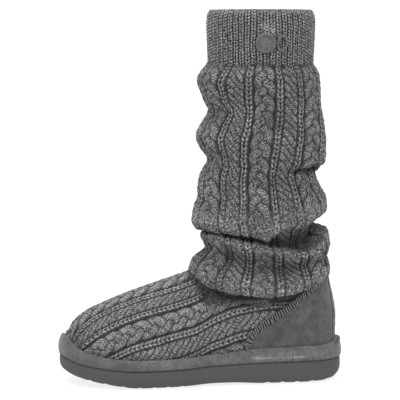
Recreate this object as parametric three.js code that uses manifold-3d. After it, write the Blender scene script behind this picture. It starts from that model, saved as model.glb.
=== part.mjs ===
// A left slouch boot: a knitted foot and a tall knitted shaft that has slid down into folds, a suede
// heel counter, a suede-wrapped midsole band and a moulded outsole. Millimetres, +Z up. The toe points
// to -X and the heel to +X, the outer side of the foot is -Y and the inner side is +Y. The origin is on
// the floor, under the middle of the sole.
import * as THREE from "three";
import { mergeVertices } from "three/addons/utils/BufferGeometryUtils.js";
import Module from "manifold-3d";

const wasm = await Module();
wasm.setup();

// Overall sizes
const SOLE_LENGTH = 270; // over the midsole band, heel to toe
const BALL_WIDTH = 103; // over the midsole band, at the ball
const BOOT_HEIGHT = 350; // floor to the top of the cuff
const INSTEP_HEIGHT = 113; // floor to where the knitted foot turns into the shaft
const CUFF_DEPTH = 101; // front to back, outside
const CUFF_WIDTH = 95; // side to side, outside
const SHAFT_FROM_HEEL = 78; // heel end of the sole to the shaft's middle line

// Walls, layers and clearances
const KNIT_WALL = 3;
const COUNTER_THICKNESS = 1.8;
const INSOLE_THICKNESS = 5;
const INSOLE_CLEARANCE = 1.2;
const HEEL_THICKNESS = 20.4; // outsole under the heel, the size that the sole's table follows
const HEEL_BAND_HEIGHT = 14.5; // midsole band at the heel
const BAND_OVERHANG = 8; // band's widest line to the knitted foot
const HEEL_LEAN = 9.5; // how far the back of the heel leans forward
const GAP = 0.3;

// Tread
const TREAD_DEPTH = 2.4;
const TREAD_GROOVE = 4;
const TREAD_PITCH = 14;
const TREAD_WAVE = 3;
const TREAD_END = 18; // sole's ends to the first groove

// Button and its loop, on the outer side of the cuff
const BUTTON_DIAMETER = 19;
const BUTTON_THICKNESS = 4;
const BUTTON_DROP = 30; // top of the cuff to the button's centre
const BUTTON_FROM_AXIS = -4; // towards the heel from the shaft's middle line
const LOOP_HEIGHT = 16;
const LOOP_LENGTH = 11.5;
const LOOP_CORD = 2.4;
const LOOP_FROM_BUTTON = 15.5;

// Resolution
const OUTLINE_STEPS = 2; // points for each span of the outline
const RING_POINTS = 36;
const ARCH_POINTS = 20;

const HEEL_X = SOLE_LENGTH / 2;
const SHAFT_X = HEEL_X - SHAFT_FROM_HEEL;

// The band's outline. along: share of the length, from the heel. outer, inner: shares of the ball width.
const OUTLINE = [
  { along: 0, outer: 0, inner: 0 },
  { along: 0.02, outer: 0.155, inner: 0.175 },
  { along: 0.06, outer: 0.262, inner: 0.272 },
  { along: 0.13, outer: 0.345, inner: 0.35 },
  { along: 0.22, outer: 0.364, inner: 0.359 },
  { along: 0.33, outer: 0.369, inner: 0.345 },
  { along: 0.45, outer: 0.398, inner: 0.345 },
  { along: 0.56, outer: 0.447, inner: 0.388 },
  { along: 0.66, outer: 0.485, inner: 0.461 },
  { along: 0.74, outer: 0.5, inner: 0.5 },
  { along: 0.82, outer: 0.471, inner: 0.495 },
  { along: 0.89, outer: 0.393, inner: 0.451 },
  { along: 0.945, outer: 0.282, inner: 0.379 },
  { along: 0.985, outer: 0.107, inner: 0.262 },
  { along: 1, outer: -0.087, inner: 0.087 },
];

// The sole along its length. rise: underside above the floor. outsole: its thickness. Both are shares of
// the heel's thickness. band: its rim above the outsole. floor: where the upper stands in it, above the
// outsole. Both are shares of the band's height at the heel.
const SOLE = [
  { along: 0, rise: 0.2, outsole: 0.8, band: 1.3, floor: 0.79 },
  { along: 0.05, rise: 0.04, outsole: 0.96, band: 1.08, floor: 0.79 },
  { along: 0.1, rise: 0, outsole: 1, band: 1, floor: 0.79 },
  { along: 0.3, rise: 0, outsole: 0.98, band: 0.97, floor: 0.76 },
  { along: 0.4, rise: 0.07, outsole: 0.88, band: 0.82, floor: 0.61 },
  { along: 0.47, rise: 0.08, outsole: 0.85, band: 0.74, floor: 0.53 },
  { along: 0.6, rise: 0, outsole: 0.82, band: 0.7, floor: 0.49 },
  { along: 0.73, rise: 0, outsole: 0.8, band: 0.7, floor: 0.49 },
  { along: 0.85, rise: 0.17, outsole: 0.73, band: 0.74, floor: 0.52 },
  { along: 0.95, rise: 0.41, outsole: 0.66, band: 1, floor: 0.55 },
  { along: 1, rise: 0.58, outsole: 0.58, band: 1.5, floor: 0.56 },
];

// Side of the outsole, from its underside up. inset: from the band's widest line. above: millimetres
// above the underside. The small step outwards is the moulded line round the sole.
const OUTSOLE_EDGE = [
  { inset: 11, above: 0 },
  { inset: 5.5, above: 0.8 },
  { inset: 2.9, above: 2.6 },
  { inset: 1.9, above: 5.2 },
  { inset: 1.7, above: 7.2 },
  { inset: 1.1, above: 7.8 },
];
const OUTSOLE_TOP_INSET = 1.4;

// Side of the band, from the outsole up. height: share of the band's height.
const BAND_EDGE = [
  { inset: 1.5, height: 0 },
  { inset: 0.5, height: 0.1 },
  { inset: 0, height: 0.35 },
  { inset: 0.6, height: 0.62 },
  { inset: 2, height: 0.84 },
  { inset: 3.8, height: 0.96 },
  { inset: 5.1, height: 1 },
];

// The knitted foot, a section for each row. top: share of the instep height. flare: how much wider the
// section is at its top than at the sole. square: 2 is an ellipse, and more is boxier.
const FOOT = [
  { along: 0, top: 1, flare: 0.44, square: 6 },
  { along: 0.25, top: 1, flare: 0.5, square: 6 },
  { along: 0.37, top: 1, flare: 0.46, square: 4.6 },
  { along: 0.463, top: 0.982, flare: 0.32, square: 3.2 },
  { along: 0.543, top: 0.92, flare: 0.16, square: 2.4 },
  { along: 0.617, top: 0.862, flare: 0.08, square: 2.25 },
  { along: 0.707, top: 0.79, flare: 0.03, square: 2.15 },
  { along: 0.78, top: 0.728, flare: 0.02, square: 2.1 },
  { along: 0.842, top: 0.665, flare: 0.01, square: 2.1 },
  { along: 0.887, top: 0.616, flare: 0, square: 2.15 },
  { along: 0.918, top: 0.567, flare: 0, square: 2.2 },
  { along: 0.946, top: 0.504, flare: 0, square: 2.3 },
  { along: 0.965, top: 0.424, flare: 0, square: 2.4 },
  { along: 1, top: 0.4, flare: 0, square: 2.4 },
];

// The shaft's folds, a ring for each row, from the hidden join at the ankle to the rolled top edge.
// front, back: reach from the middle line, shares of half the cuff's depth. outer, inner: the same
// across, shares of half its width. The columns that end in Z are the heights there, shares of the boot's.
const FOLDS = [
  { front: 0.9, frontZ: 0.262, outer: 0.7, outerZ: 0.276, back: 0.97, backZ: 0.3, inner: 0.7, innerZ: 0.276 },
  { front: 1.27, frontZ: 0.27, outer: 0.99, outerZ: 0.24, back: 1.26, backZ: 0.284, inner: 0.97, innerZ: 0.246 },
  { front: 1.37, frontZ: 0.296, outer: 1.12, outerZ: 0.266, back: 1.31, backZ: 0.297, inner: 1.07, innerZ: 0.269 },
  { front: 1.26, frontZ: 0.337, outer: 1.07, outerZ: 0.294, back: 1.28, backZ: 0.317, inner: 1.05, innerZ: 0.294 },
  { front: 1.05, frontZ: 0.361, outer: 0.99, outerZ: 0.32, back: 1.27, backZ: 0.337, inner: 0.97, innerZ: 0.32 },
  { front: 1.07, frontZ: 0.374, outer: 1.03, outerZ: 0.343, back: 1.29, backZ: 0.363, inner: 1.01, innerZ: 0.343 },
  { front: 1.13, frontZ: 0.389, outer: 1.06, outerZ: 0.366, back: 1.29, backZ: 0.386, inner: 1.05, innerZ: 0.366 },
  { front: 1.12, frontZ: 0.397, outer: 1.0, outerZ: 0.38, back: 1.24, backZ: 0.407, inner: 0.99, innerZ: 0.38 },
  { front: 1.11, frontZ: 0.404, outer: 0.905, outerZ: 0.39, back: 0.96, backZ: 0.424, inner: 0.915, innerZ: 0.39 },
  { front: 1.21, frontZ: 0.411, outer: 1.05, outerZ: 0.399, back: 1.05, backZ: 0.436, inner: 1.05, innerZ: 0.397 },
  { front: 1.3, frontZ: 0.429, outer: 1.14, outerZ: 0.417, back: 1.22, backZ: 0.454, inner: 1.115, innerZ: 0.417 },
  { front: 1.29, frontZ: 0.449, outer: 1.145, outerZ: 0.443, back: 1.24, backZ: 0.471, inner: 1.135, innerZ: 0.443 },
  { front: 1.24, frontZ: 0.473, outer: 1.135, outerZ: 0.471, back: 1.19, backZ: 0.494, inner: 1.115, innerZ: 0.471 },
  { front: 1.17, frontZ: 0.496, outer: 1.115, outerZ: 0.5, back: 1.13, backZ: 0.517, inner: 1.095, innerZ: 0.5 },
  { front: 1.17, frontZ: 0.52, outer: 1.095, outerZ: 0.526, back: 1.07, backZ: 0.537, inner: 1.075, innerZ: 0.526 },
  { front: 1.13, frontZ: 0.557, outer: 1.085, outerZ: 0.551, back: 1.01, backZ: 0.564, inner: 1.065, innerZ: 0.551 },
  { front: 1.01, frontZ: 0.591, outer: 1.095, outerZ: 0.577, back: 1.1, backZ: 0.582, inner: 1.075, innerZ: 0.58 },
  { front: 1.035, frontZ: 0.609, outer: 1.115, outerZ: 0.606, back: 1.17, backZ: 0.6, inner: 1.095, innerZ: 0.609 },
  { front: 1.135, frontZ: 0.633, outer: 1.125, outerZ: 0.631, back: 1.2, backZ: 0.62, inner: 1.105, innerZ: 0.634 },
  { front: 1.2, frontZ: 0.663, outer: 1.125, outerZ: 0.66, back: 1.2, backZ: 0.649, inner: 1.105, innerZ: 0.663 },
  { front: 1.11, frontZ: 0.695, outer: 1.115, outerZ: 0.694, back: 1.17, backZ: 0.686, inner: 1.095, innerZ: 0.697 },
  { front: 0.98, frontZ: 0.731, outer: 1.085, outerZ: 0.726, back: 1.14, backZ: 0.72, inner: 1.075, innerZ: 0.729 },
  { front: 1.04, frontZ: 0.754, outer: 1.095, outerZ: 0.751, back: 1.115, backZ: 0.749, inner: 1.085, innerZ: 0.751 },
  { front: 1.12, frontZ: 0.783, outer: 1.105, outerZ: 0.78, back: 1.095, backZ: 0.78, inner: 1.095, innerZ: 0.78 },
  { front: 1.18, frontZ: 0.809, outer: 1.115, outerZ: 0.809, back: 1.08, backZ: 0.806, inner: 1.105, innerZ: 0.809 },
  { front: 1.13, frontZ: 0.831, outer: 1.095, outerZ: 0.831, back: 1.055, backZ: 0.831, inner: 1.075, innerZ: 0.831 },
  { front: 1.0, frontZ: 0.856, outer: 1.0, outerZ: 0.851, back: 0.97, backZ: 0.853, inner: 0.99, innerZ: 0.851 },
  { front: 0.99, frontZ: 0.869, outer: 0.985, outerZ: 0.866, back: 0.965, backZ: 0.866, inner: 0.98, innerZ: 0.866 },
  { front: 1.01, frontZ: 0.943, outer: 1.0, outerZ: 0.943, back: 0.99, backZ: 0.943, inner: 1.0, innerZ: 0.943 },
  { front: 1.01, frontZ: 0.991, outer: 1.0, outerZ: 0.991, back: 0.99, backZ: 0.991, inner: 1.0, innerZ: 0.991 },
  { front: 0.98, frontZ: 1, outer: 0.97, outerZ: 1, back: 0.96, backZ: 1, inner: 0.97, innerZ: 1 },
];

// The counter's front edge from the side, from its corner at the sole up to the fold that covers it.
// along: share of the sole's length. up: share of the instep height.
const COUNTER_EDGE = [
  { along: 0.358, up: 0 },
  { along: 0.358, up: 0.3 },
  { along: 0.35, up: 0.395 },
  { along: 0.324, up: 0.463 },
  { along: 0.273, up: 0.556 },
  { along: 0.219, up: 0.64 },
  { along: 0.166, up: 0.745 },
  { along: 0.102, up: 0.855 },
  { along: 0.072, up: 0.94 },
  { along: 0.05, up: 1.05 },
];

// Value of a table's column at a share of the length, smooth and without overshoot.
function valueAt(rows, column, along) {
  const last = rows.length - 1;
  const secant = (k) => (rows[k + 1][column] - rows[k][column]) / (rows[k + 1].along - rows[k].along);
  const slope = (k) => {
    if (k === 0 || k === last) return 0;
    const [before, after] = [secant(k - 1), secant(k)];
    return before * after <= 0 ? 0 : (2 * before * after) / (before + after);
  };
  const at = Math.min(Math.max(along, rows[0].along), rows[last].along);
  let k = 0;
  while (k < last - 1 && at > rows[k + 1].along) k += 1;
  const span = rows[k + 1].along - rows[k].along;
  const t = (at - rows[k].along) / span;
  const [t2, t3] = [t * t, t * t * t];
  return (
    (2 * t3 - 3 * t2 + 1) * rows[k][column] +
    (t3 - 2 * t2 + t) * span * slope(k) +
    (3 * t2 - 2 * t3) * rows[k + 1][column] +
    (t3 - t2) * span * slope(k + 1)
  );
}

const shareAlong = (x) => (HEEL_X - x) / SOLE_LENGTH;
const shareToX = (along) => HEEL_X - along * SOLE_LENGTH;

// Heights of the sole's layers at a place along the shoe
const underside = (x) => HEEL_THICKNESS * valueAt(SOLE, "rise", shareAlong(x));
const outsoleTop = (x) => underside(x) + HEEL_THICKNESS * valueAt(SOLE, "outsole", shareAlong(x));
const bandHeight = (x) => HEEL_BAND_HEIGHT * valueAt(SOLE, "band", shareAlong(x));
const bandFloor = (x) => outsoleTop(x) + HEEL_BAND_HEIGHT * valueAt(SOLE, "floor", shareAlong(x));

// The band's widest line, seen from above: from the heel along the inner side to the toe and back.
function outlinePoints() {
  const side = (row, across) => new THREE.Vector3(HEEL_X - row.along * SOLE_LENGTH, across * BALL_WIDTH, 0);
  const inner = OUTLINE.map((row) => side(row, row.inner));
  const outer = OUTLINE.slice(1, -1).map((row) => side(row, -row.outer));
  const curve = new THREE.CatmullRomCurve3([...inner, ...outer.reverse()], true, "centripetal");
  return curve.getPoints(2 * (OUTLINE.length - 1) * OUTLINE_STEPS).slice(0, -1);
}

const outline = outlinePoints();

// The outline moved inwards by inset(x), as a ring at the height that heightAt(x) gives.
function soleRing(inset, heightAt) {
  const n = outline.length;
  return outline.map((point, i) => {
    const tangent = outline[(i + 1) % n].clone().sub(outline[(i + n - 1) % n]).normalize();
    const amount = typeof inset === "function" ? inset(point.x) : inset;
    const x = point.x - tangent.y * amount;
    return new THREE.Vector3(x, point.y + tangent.x * amount, heightAt(x));
  });
}

// A closed geometry through rings of equal length, with both ends closed by strips across them.
function loft(rings) {
  const n = rings[0].length;
  const faces = [];
  for (let i = 0; i < rings.length - 1; i += 1) {
    for (let j = 0; j < n; j += 1) {
      const [a, b] = [i * n + j, i * n + ((j + 1) % n)];
      faces.push(a, b, b + n, a, b + n, a + n);
    }
  }
  const close = (start, turned) => {
    for (let j = 0; j < Math.floor((n - 1) / 2); j += 1) {
      const [a, b, c, d] = [j, j + 1, n - j - 1, n - j - 2].map((k) => start + (k % n));
      const first = c === a + n ? [] : [a, c, b];
      const strip = [...first, b, c, d].slice(0, d === b ? 3 : 6);
      faces.push(...(turned ? strip.reverse() : strip));
    }
  };
  close(0, false);
  close((rings.length - 1) * n, true);
  return closedGeometry(rings.flat(), faces);
}

// Merges equal points, drops faces that have collapsed and turns the rest to face outwards.
function closedGeometry(points, faces) {
  const raw = new THREE.BufferGeometry().setFromPoints(points);
  raw.setIndex(faces);
  const merged = mergeVertices(raw, 1e-4);
  const position = merged.getAttribute("position");
  const kept = [];
  let volume = 0;
  for (let f = 0; f < merged.index.count; f += 3) {
    const [a, b, c] = [0, 1, 2].map((k) => merged.index.getX(f + k));
    if (a === b || b === c || c === a) continue;
    kept.push(a, b, c);
    const [p, q, r] = [a, b, c].map((k) => new THREE.Vector3().fromBufferAttribute(position, k));
    volume += p.dot(q.cross(r));
  }
  merged.setIndex(volume < 0 ? kept.reverse() : kept);
  return merged;
}

// A three.js geometry as a solid, and a solid as a three.js geometry
function solidOf(geometry) {
  const bare = geometry.clone();
  bare.deleteAttribute("normal");
  bare.deleteAttribute("uv");
  const merged = mergeVertices(bare, 1e-4);
  const vertProperties = new Float32Array(merged.getAttribute("position").array);
  const index = merged.index.array;
  return new wasm.Manifold(new wasm.Mesh({ numProp: 3, vertProperties, triVerts: new Uint32Array(index) }));
}

function geometryOf(solid) {
  const mesh = solid.getMesh();
  const geometry = new THREE.BufferGeometry();
  geometry.setAttribute("position", new THREE.BufferAttribute(mesh.vertProperties, mesh.numProp));
  geometry.setIndex(new THREE.BufferAttribute(mesh.triVerts, 1));
  return geometry;
}

function signedPower(value, power) {
  return Math.sign(value) * Math.abs(value) ** power;
}

// The knitted foot as a solid form, grown outwards by grow. Its arches stand on the sole's outline.
function footForm(grow, base) {
  const edge = soleRing(BAND_OVERHANG - grow, base);
  const n = edge.length;
  const sections = [];
  for (let i = 0; i <= n / 2; i += 1) {
    sections.push(footArch(edge[i], edge[(n - i) % n], grow));
  }
  return solidOf(loft(sections));
}

// One arch from the inner edge point to the outer one. It widens as it rises, and behind the ball it
// also comes over the shaft's middle line.
function footArch(innerEdge, outerEdge, grow) {
  const middle = innerEdge.clone().add(outerEdge).multiplyScalar(0.5);
  const half = innerEdge.clone().sub(outerEdge).multiplyScalar(0.5);
  const along = shareAlong(middle.x);
  const top = INSTEP_HEIGHT * valueAt(FOOT, "top", along) + grow;
  const flare = valueAt(FOOT, "flare", along);
  const power = 2 / valueAt(FOOT, "square", along);
  const centred = 1 - THREE.MathUtils.smoothstep(along, 0.45, 0.85);
  const points = [];
  for (let k = 0; k <= ARCH_POINTS; k += 1) {
    const angle = (Math.PI * k) / ARCH_POINTS;
    const up = k === 0 || k === ARCH_POINTS ? 0 : Math.sin(angle) ** power;
    const across = signedPower(Math.cos(angle), power) * (1 + flare * up ** 3);
    const z = middle.z + (top - middle.z) * up;
    const x = middle.x + half.x * across;
    points.push(new THREE.Vector3(x - heelLean(x, z), middle.y * (1 - up * centred) + half.y * across, z));
  }
  return points;
}

// How far the back of the foot leans forward at a height, fading out towards the ball.
function heelLean(x, z) {
  const up = THREE.MathUtils.smoothstep(z, 0.5 * INSTEP_HEIGHT, 1.05 * INSTEP_HEIGHT);
  return HEEL_LEAN * up * Math.max(0, 1 - 2 * shareAlong(x));
}

// One ring of the shaft. Its reach and its height turn smoothly between front, outer, back and inner.
function foldRing(row) {
  const points = [];
  for (let j = 0; j < RING_POINTS; j += 1) {
    const angle = (2 * Math.PI * j) / RING_POINTS;
    const [c, s] = [Math.cos(angle), Math.sin(angle)];
    const [reach, reachZ] = c > 0 ? [row.back, row.backZ] : [row.front, row.frontZ];
    const [side, sideZ] = s > 0 ? [row.inner, row.innerZ] : [row.outer, row.outerZ];
    const x = SHAFT_X + (CUFF_DEPTH / 2) * reach * c;
    const y = (CUFF_WIDTH / 2) * side * s;
    points.push(new THREE.Vector3(x, y, BOOT_HEIGHT * (reachZ * c * c + sideZ * s * s)));
  }
  return points;
}

// Rings moved outwards, square to the surface that they span.
function grownRings(rings, grow) {
  const n = RING_POINTS;
  const last = rings.length - 1;
  return rings.map((ring, i) =>
    ring.map((point, j) => {
      const round = ring[(j + 1) % n].clone().sub(ring[(j + n - 1) % n]);
      const up = rings[Math.min(i + 1, last)][j].clone().sub(rings[Math.max(i - 1, 0)][j]);
      return point.clone().addScaledVector(round.cross(up).normalize(), grow);
    }),
  );
}

const foldRings = FOLDS.map(foldRing);

// The space inside the shaft, open at the top.
function shaftHollow() {
  const rings = grownRings(foldRings, -KNIT_WALL);
  const rim = rings[rings.length - 1];
  return solidOf(loft([...rings, rim.map((p) => p.clone().setZ(BOOT_HEIGHT + KNIT_WALL))]));
}

// Foot, shaft and cuff in one hollow solid, open at the collar and underneath, on the band's floor.
function upperSolid() {
  const seat = (x) => bandFloor(x) + GAP;
  const outside = footForm(0, seat).add(solidOf(loft(foldRings)));
  const below = (x) => bandFloor(x) - KNIT_WALL;
  return largest(outside.subtract(footForm(-KNIT_WALL, below)).subtract(shaftHollow()));
}

// The heel counter lies over the knitted foot and ends under the lowest fold.
function counterSolid() {
  const seat = (x) => bandFloor(x) + GAP;
  const edge = COUNTER_EDGE.map((row) => new THREE.Vector2(shareToX(row.along), row.up * INSTEP_HEIGHT));
  const behind = 1.1 * HEEL_X;
  const shape = new THREE.Shape([
    ...new THREE.SplineCurve(edge).getPoints(18),
    new THREE.Vector2(behind, edge[edge.length - 1].y),
    new THREE.Vector2(behind, 0),
  ]);
  const block = new THREE.ExtrudeGeometry(shape, { depth: BALL_WIDTH, bevelEnabled: false });
  block.rotateX(Math.PI / 2).translate(0, BALL_WIDTH / 2, 0);
  const skin = footForm(GAP + COUNTER_THICKNESS, seat).subtract(footForm(GAP, (x) => seat(x) - KNIT_WALL));
  const folds = solidOf(loft(grownRings(foldRings, GAP)));
  return largest(skin.intersect(solidOf(block)).subtract(folds));
}

// The biggest body of a solid, without crumbs that a cut leaves.
function largest(solid) {
  return solid.decompose().sort((a, b) => b.volume() - a.volume())[0];
}

// The outsole, with wavy grooves across the forefoot and the heel.
function outsoleSolid() {
  const rings = OUTSOLE_EDGE.map((row) => soleRing(row.inset, (x) => underside(x) + row.above));
  rings.push(soleRing(OUTSOLE_TOP_INSET, (x) => outsoleTop(x) - GAP / 2));
  let solid = solidOf(loft(rings));
  const arch = [shareToX(0.32), shareToX(0.54)];
  for (let x = HEEL_X - TREAD_END; x > TREAD_END - HEEL_X; x -= TREAD_PITCH) {
    const onArch = x < arch[0] && x > arch[1];
    if (!onArch) solid = solid.subtract(solidOf(treadGroove(x)));
  }
  return solid;
}

// A wavy bar that cuts one groove of the tread, right across the sole.
function treadGroove(x) {
  const waves = 8;
  const front = [];
  const back = [];
  for (let k = 0; k <= waves; k += 1) {
    const y = (k / waves - 0.5) * (BALL_WIDTH + 2 * TREAD_PITCH);
    const shift = k % 2 ? TREAD_WAVE : -TREAD_WAVE;
    front.push(new THREE.Vector2(x + shift - TREAD_GROOVE / 2, y));
    back.push(new THREE.Vector2(x + shift + TREAD_GROOVE / 2, y));
  }
  const shape = new THREE.Shape([...front, ...back.reverse()]);
  const bar = new THREE.ExtrudeGeometry(shape, { depth: 3 * TREAD_DEPTH, bevelEnabled: false });
  return bar.translate(0, 0, underside(x) - 2 * TREAD_DEPTH);
}

// How far in the band's rim reaches: up to the counter at the heel, and up to the knitted foot in front.
function rimInset(x) {
  const layer = COUNTER_THICKNESS + GAP;
  const front = THREE.MathUtils.smoothstep(shareAlong(x), COUNTER_EDGE[0].along + 0.04, COUNTER_EDGE[0].along + 0.1);
  return BAND_OVERHANG - GAP - layer * (1 - front);
}

// The midsole wrapped in suede: a slab with a round rim that the upper sits in.
function bandGeometry() {
  const bottom = (x) => outsoleTop(x) + GAP / 2;
  const rings = BAND_EDGE.map((row) => soleRing(row.inset, (x) => bottom(x) + row.height * bandHeight(x)));
  rings.push(soleRing(rimInset, (x) => bottom(x) + 0.96 * bandHeight(x)));
  rings.push(soleRing(rimInset, bandFloor));
  return loft(rings);
}

// The insole lies on the band's floor, inside the upper.
function insoleGeometry() {
  const inset = BAND_OVERHANG + KNIT_WALL + INSOLE_CLEARANCE;
  const bottom = (x) => bandFloor(x) + GAP;
  return loft([
    soleRing(inset, bottom),
    soleRing(inset, (x) => bottom(x) + 0.6 * INSOLE_THICKNESS),
    soleRing(inset + 1, (x) => bottom(x) + INSOLE_THICKNESS),
  ]);
}

// A point on the outside of the cuff's outer face, and the way that the cloth faces there.
function cuffPlace(fromAxis, drop) {
  const sin = Math.sqrt(1 - (fromAxis / (CUFF_DEPTH / 2)) ** 2);
  const point = new THREE.Vector3(SHAFT_X + fromAxis, (-CUFF_WIDTH / 2) * sin, BOOT_HEIGHT - drop);
  const facing = new THREE.Vector3(fromAxis / (CUFF_DEPTH / 2) ** 2, (-sin * 2) / CUFF_WIDTH, 0);
  return { point, facing: facing.normalize() };
}

// Puts a mesh that faces +Z on the cuff, its underside standing off by the gap.
function sewOnCuff(mesh, fromAxis, lift) {
  const { point, facing } = cuffPlace(fromAxis, BUTTON_DROP);
  mesh.quaternion.setFromUnitVectors(new THREE.Vector3(0, 0, 1), facing);
  mesh.position.copy(point).addScaledVector(facing, lift + GAP);
}

// A domed button with a raised rim. Its profile turns about its own axis, from the back to the front.
function buttonGeometry() {
  const r = BUTTON_DIAMETER / 2;
  const t = BUTTON_THICKNESS;
  const profile = [
    [0, 0],
    [0.8 * r, 0],
    [r, 0.3 * t],
    [r, 0.7 * t],
    [0.9 * r, t],
    [0.78 * r, t],
    [0.68 * r, 0.7 * t],
    [0.35 * r, 0.86 * t],
    [0, 0.9 * t],
  ].map(([x, y]) => new THREE.Vector2(x, y));
  const lathe = new THREE.LatheGeometry(profile, 24).rotateX(Math.PI / 2);
  return geometryOf(solidOf(lathe));
}

function loopGeometry() {
  const half = (LOOP_LENGTH - LOOP_CORD) / 2;
  const ring = new THREE.TorusGeometry(half, LOOP_CORD / 2, 8, 20);
  return ring.scale(1, (LOOP_HEIGHT - LOOP_CORD) / (2 * half), 1);
}

const knit = new THREE.MeshStandardMaterial({ color: "#6b6b6b", roughness: 0.95, metalness: 0 });
const cuffTrim = new THREE.MeshStandardMaterial({ color: "#707070", roughness: 0.6, metalness: 0 });
const suede = new THREE.MeshStandardMaterial({ color: "#585858", roughness: 0.9, metalness: 0 });
const bandSuede = new THREE.MeshStandardMaterial({ color: "#6e6e6e", roughness: 0.85, metalness: 0 });
const rubber = new THREE.MeshStandardMaterial({ color: "#5a5a5a", roughness: 0.7, metalness: 0 });
const fleece = new THREE.MeshStandardMaterial({ color: "#8a8a88", roughness: 1, metalness: 0 });

const boot = new THREE.Group();
boot.name = "slouch_boot";

function addPiece(name, geometry, material) {
  const mesh = new THREE.Mesh(geometry, material);
  mesh.name = name;
  boot.add(mesh);
  return mesh;
}

addPiece("outsole", geometryOf(outsoleSolid()), rubber);
addPiece("midsole_band", bandGeometry(), bandSuede);
addPiece("insole", insoleGeometry(), fleece);
addPiece("upper", geometryOf(upperSolid()), knit);
addPiece("heel_counter", geometryOf(counterSolid()), suede);
sewOnCuff(addPiece("button", buttonGeometry(), cuffTrim), BUTTON_FROM_AXIS, 0);
sewOnCuff(addPiece("button_loop", loopGeometry(), cuffTrim), BUTTON_FROM_AXIS + LOOP_FROM_BUTTON, LOOP_CORD / 2);

const bounds = new THREE.Box3().setFromObject(boot);
const middle = bounds.getCenter(new THREE.Vector3());
boot.position.set(-middle.x, -middle.y, -bounds.min.z);
boot.updateMatrixWorld(true);

export default boot;
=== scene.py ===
"""Left slouch boot: knitted foot, slouched shaft and ribbed cuff, suede counter and band, moulded sole.

Lengths are in millimetres until a mesh is made, and metres in Blender. The toe points to -X, the heel to
+X, the outer side of the foot is -Y and +Z is up.
"""
import math

import bpy
import numpy as np
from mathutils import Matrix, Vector


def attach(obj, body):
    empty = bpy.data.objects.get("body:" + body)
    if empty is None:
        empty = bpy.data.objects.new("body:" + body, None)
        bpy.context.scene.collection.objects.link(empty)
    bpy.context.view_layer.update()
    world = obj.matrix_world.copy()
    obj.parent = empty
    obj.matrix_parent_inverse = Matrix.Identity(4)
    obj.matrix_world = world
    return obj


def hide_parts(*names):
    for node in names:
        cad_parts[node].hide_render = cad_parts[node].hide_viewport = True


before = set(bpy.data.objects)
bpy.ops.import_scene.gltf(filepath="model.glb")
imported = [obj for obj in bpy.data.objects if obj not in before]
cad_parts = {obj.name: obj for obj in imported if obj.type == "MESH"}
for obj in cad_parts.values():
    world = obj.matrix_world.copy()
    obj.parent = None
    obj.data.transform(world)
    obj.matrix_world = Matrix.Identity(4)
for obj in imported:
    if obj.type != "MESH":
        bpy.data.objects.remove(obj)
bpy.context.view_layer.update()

MM = 0.001

# The part's own sizes and tables; only the outsole stands 2 mm higher at the toe's tip
SOLE_LENGTH = 270.0
BALL_WIDTH = 103.0
BOOT_HEIGHT = 350.0
INSTEP_HEIGHT = 113.0
CUFF_DEPTH = 101.0
CUFF_WIDTH = 95.0
KNIT_WALL = 3.0
COUNTER_THICKNESS = 1.8
HEEL_THICKNESS = 20.4
HEEL_BAND_HEIGHT = 14.5
BAND_OVERHANG = 8.0
HEEL_LEAN = 9.5
GAP = 0.3
HEEL_X = SOLE_LENGTH / 2
SHAFT_X = HEEL_X - 78.0
AXIS_Y = 0.24  # the shaft's middle line, after the part is centred on its bounding box

OUTLINE_ALONG = [0, 0.02, 0.06, 0.13, 0.22, 0.33, 0.45, 0.56, 0.66, 0.74, 0.82, 0.89, 0.945, 0.985, 1]
OUTLINE_OUTER = [0, 0.155, 0.262, 0.345, 0.364, 0.369, 0.398, 0.447, 0.485, 0.5, 0.471, 0.393, 0.282, 0.107,
                 -0.087]
OUTLINE_INNER = [0, 0.175, 0.272, 0.35, 0.359, 0.345, 0.345, 0.388, 0.461, 0.5, 0.495, 0.451, 0.379, 0.262,
                 0.087]

SOLE = {
    "along": [0, 0.05, 0.1, 0.3, 0.4, 0.47, 0.6, 0.73, 0.85, 0.95, 1],
    "rise": [0.2, 0.04, 0, 0, 0.07, 0.08, 0, 0, 0.17, 0.41, 0.58],
    "outsole": [0.8, 0.96, 1, 0.98, 0.88, 0.85, 0.82, 0.8, 0.73, 0.68, 0.68],
    "band": [1.3, 1.08, 1, 0.97, 0.82, 0.74, 0.7, 0.7, 0.74, 1, 1.5],
    "floor": [0.79, 0.79, 0.79, 0.76, 0.61, 0.53, 0.49, 0.49, 0.52, 0.55, 0.56],
}
FOOT = {
    "along": [0, 0.25, 0.37, 0.463, 0.543, 0.617, 0.707, 0.78, 0.842, 0.887, 0.918, 0.946, 0.965, 1],
    "top": [1, 1, 1, 0.982, 0.92, 0.862, 0.79, 0.728, 0.665, 0.616, 0.567, 0.504, 0.424, 0.4],
    "flare": [0.44, 0.5, 0.46, 0.32, 0.16, 0.08, 0.03, 0.02, 0.01, 0, 0, 0, 0, 0],
    "square": [6, 6, 4.6, 3.2, 2.4, 2.25, 2.15, 2.1, 2.1, 2.15, 2.2, 2.3, 2.4, 2.4],
}
COUNTER_EDGE = [
    (0.358, 0), (0.358, 0.3), (0.35, 0.395), (0.324, 0.463), (0.273, 0.556),
    (0.219, 0.64), (0.166, 0.745), (0.102, 0.855), (0.072, 0.94), (0.05, 1.05),
]

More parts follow.
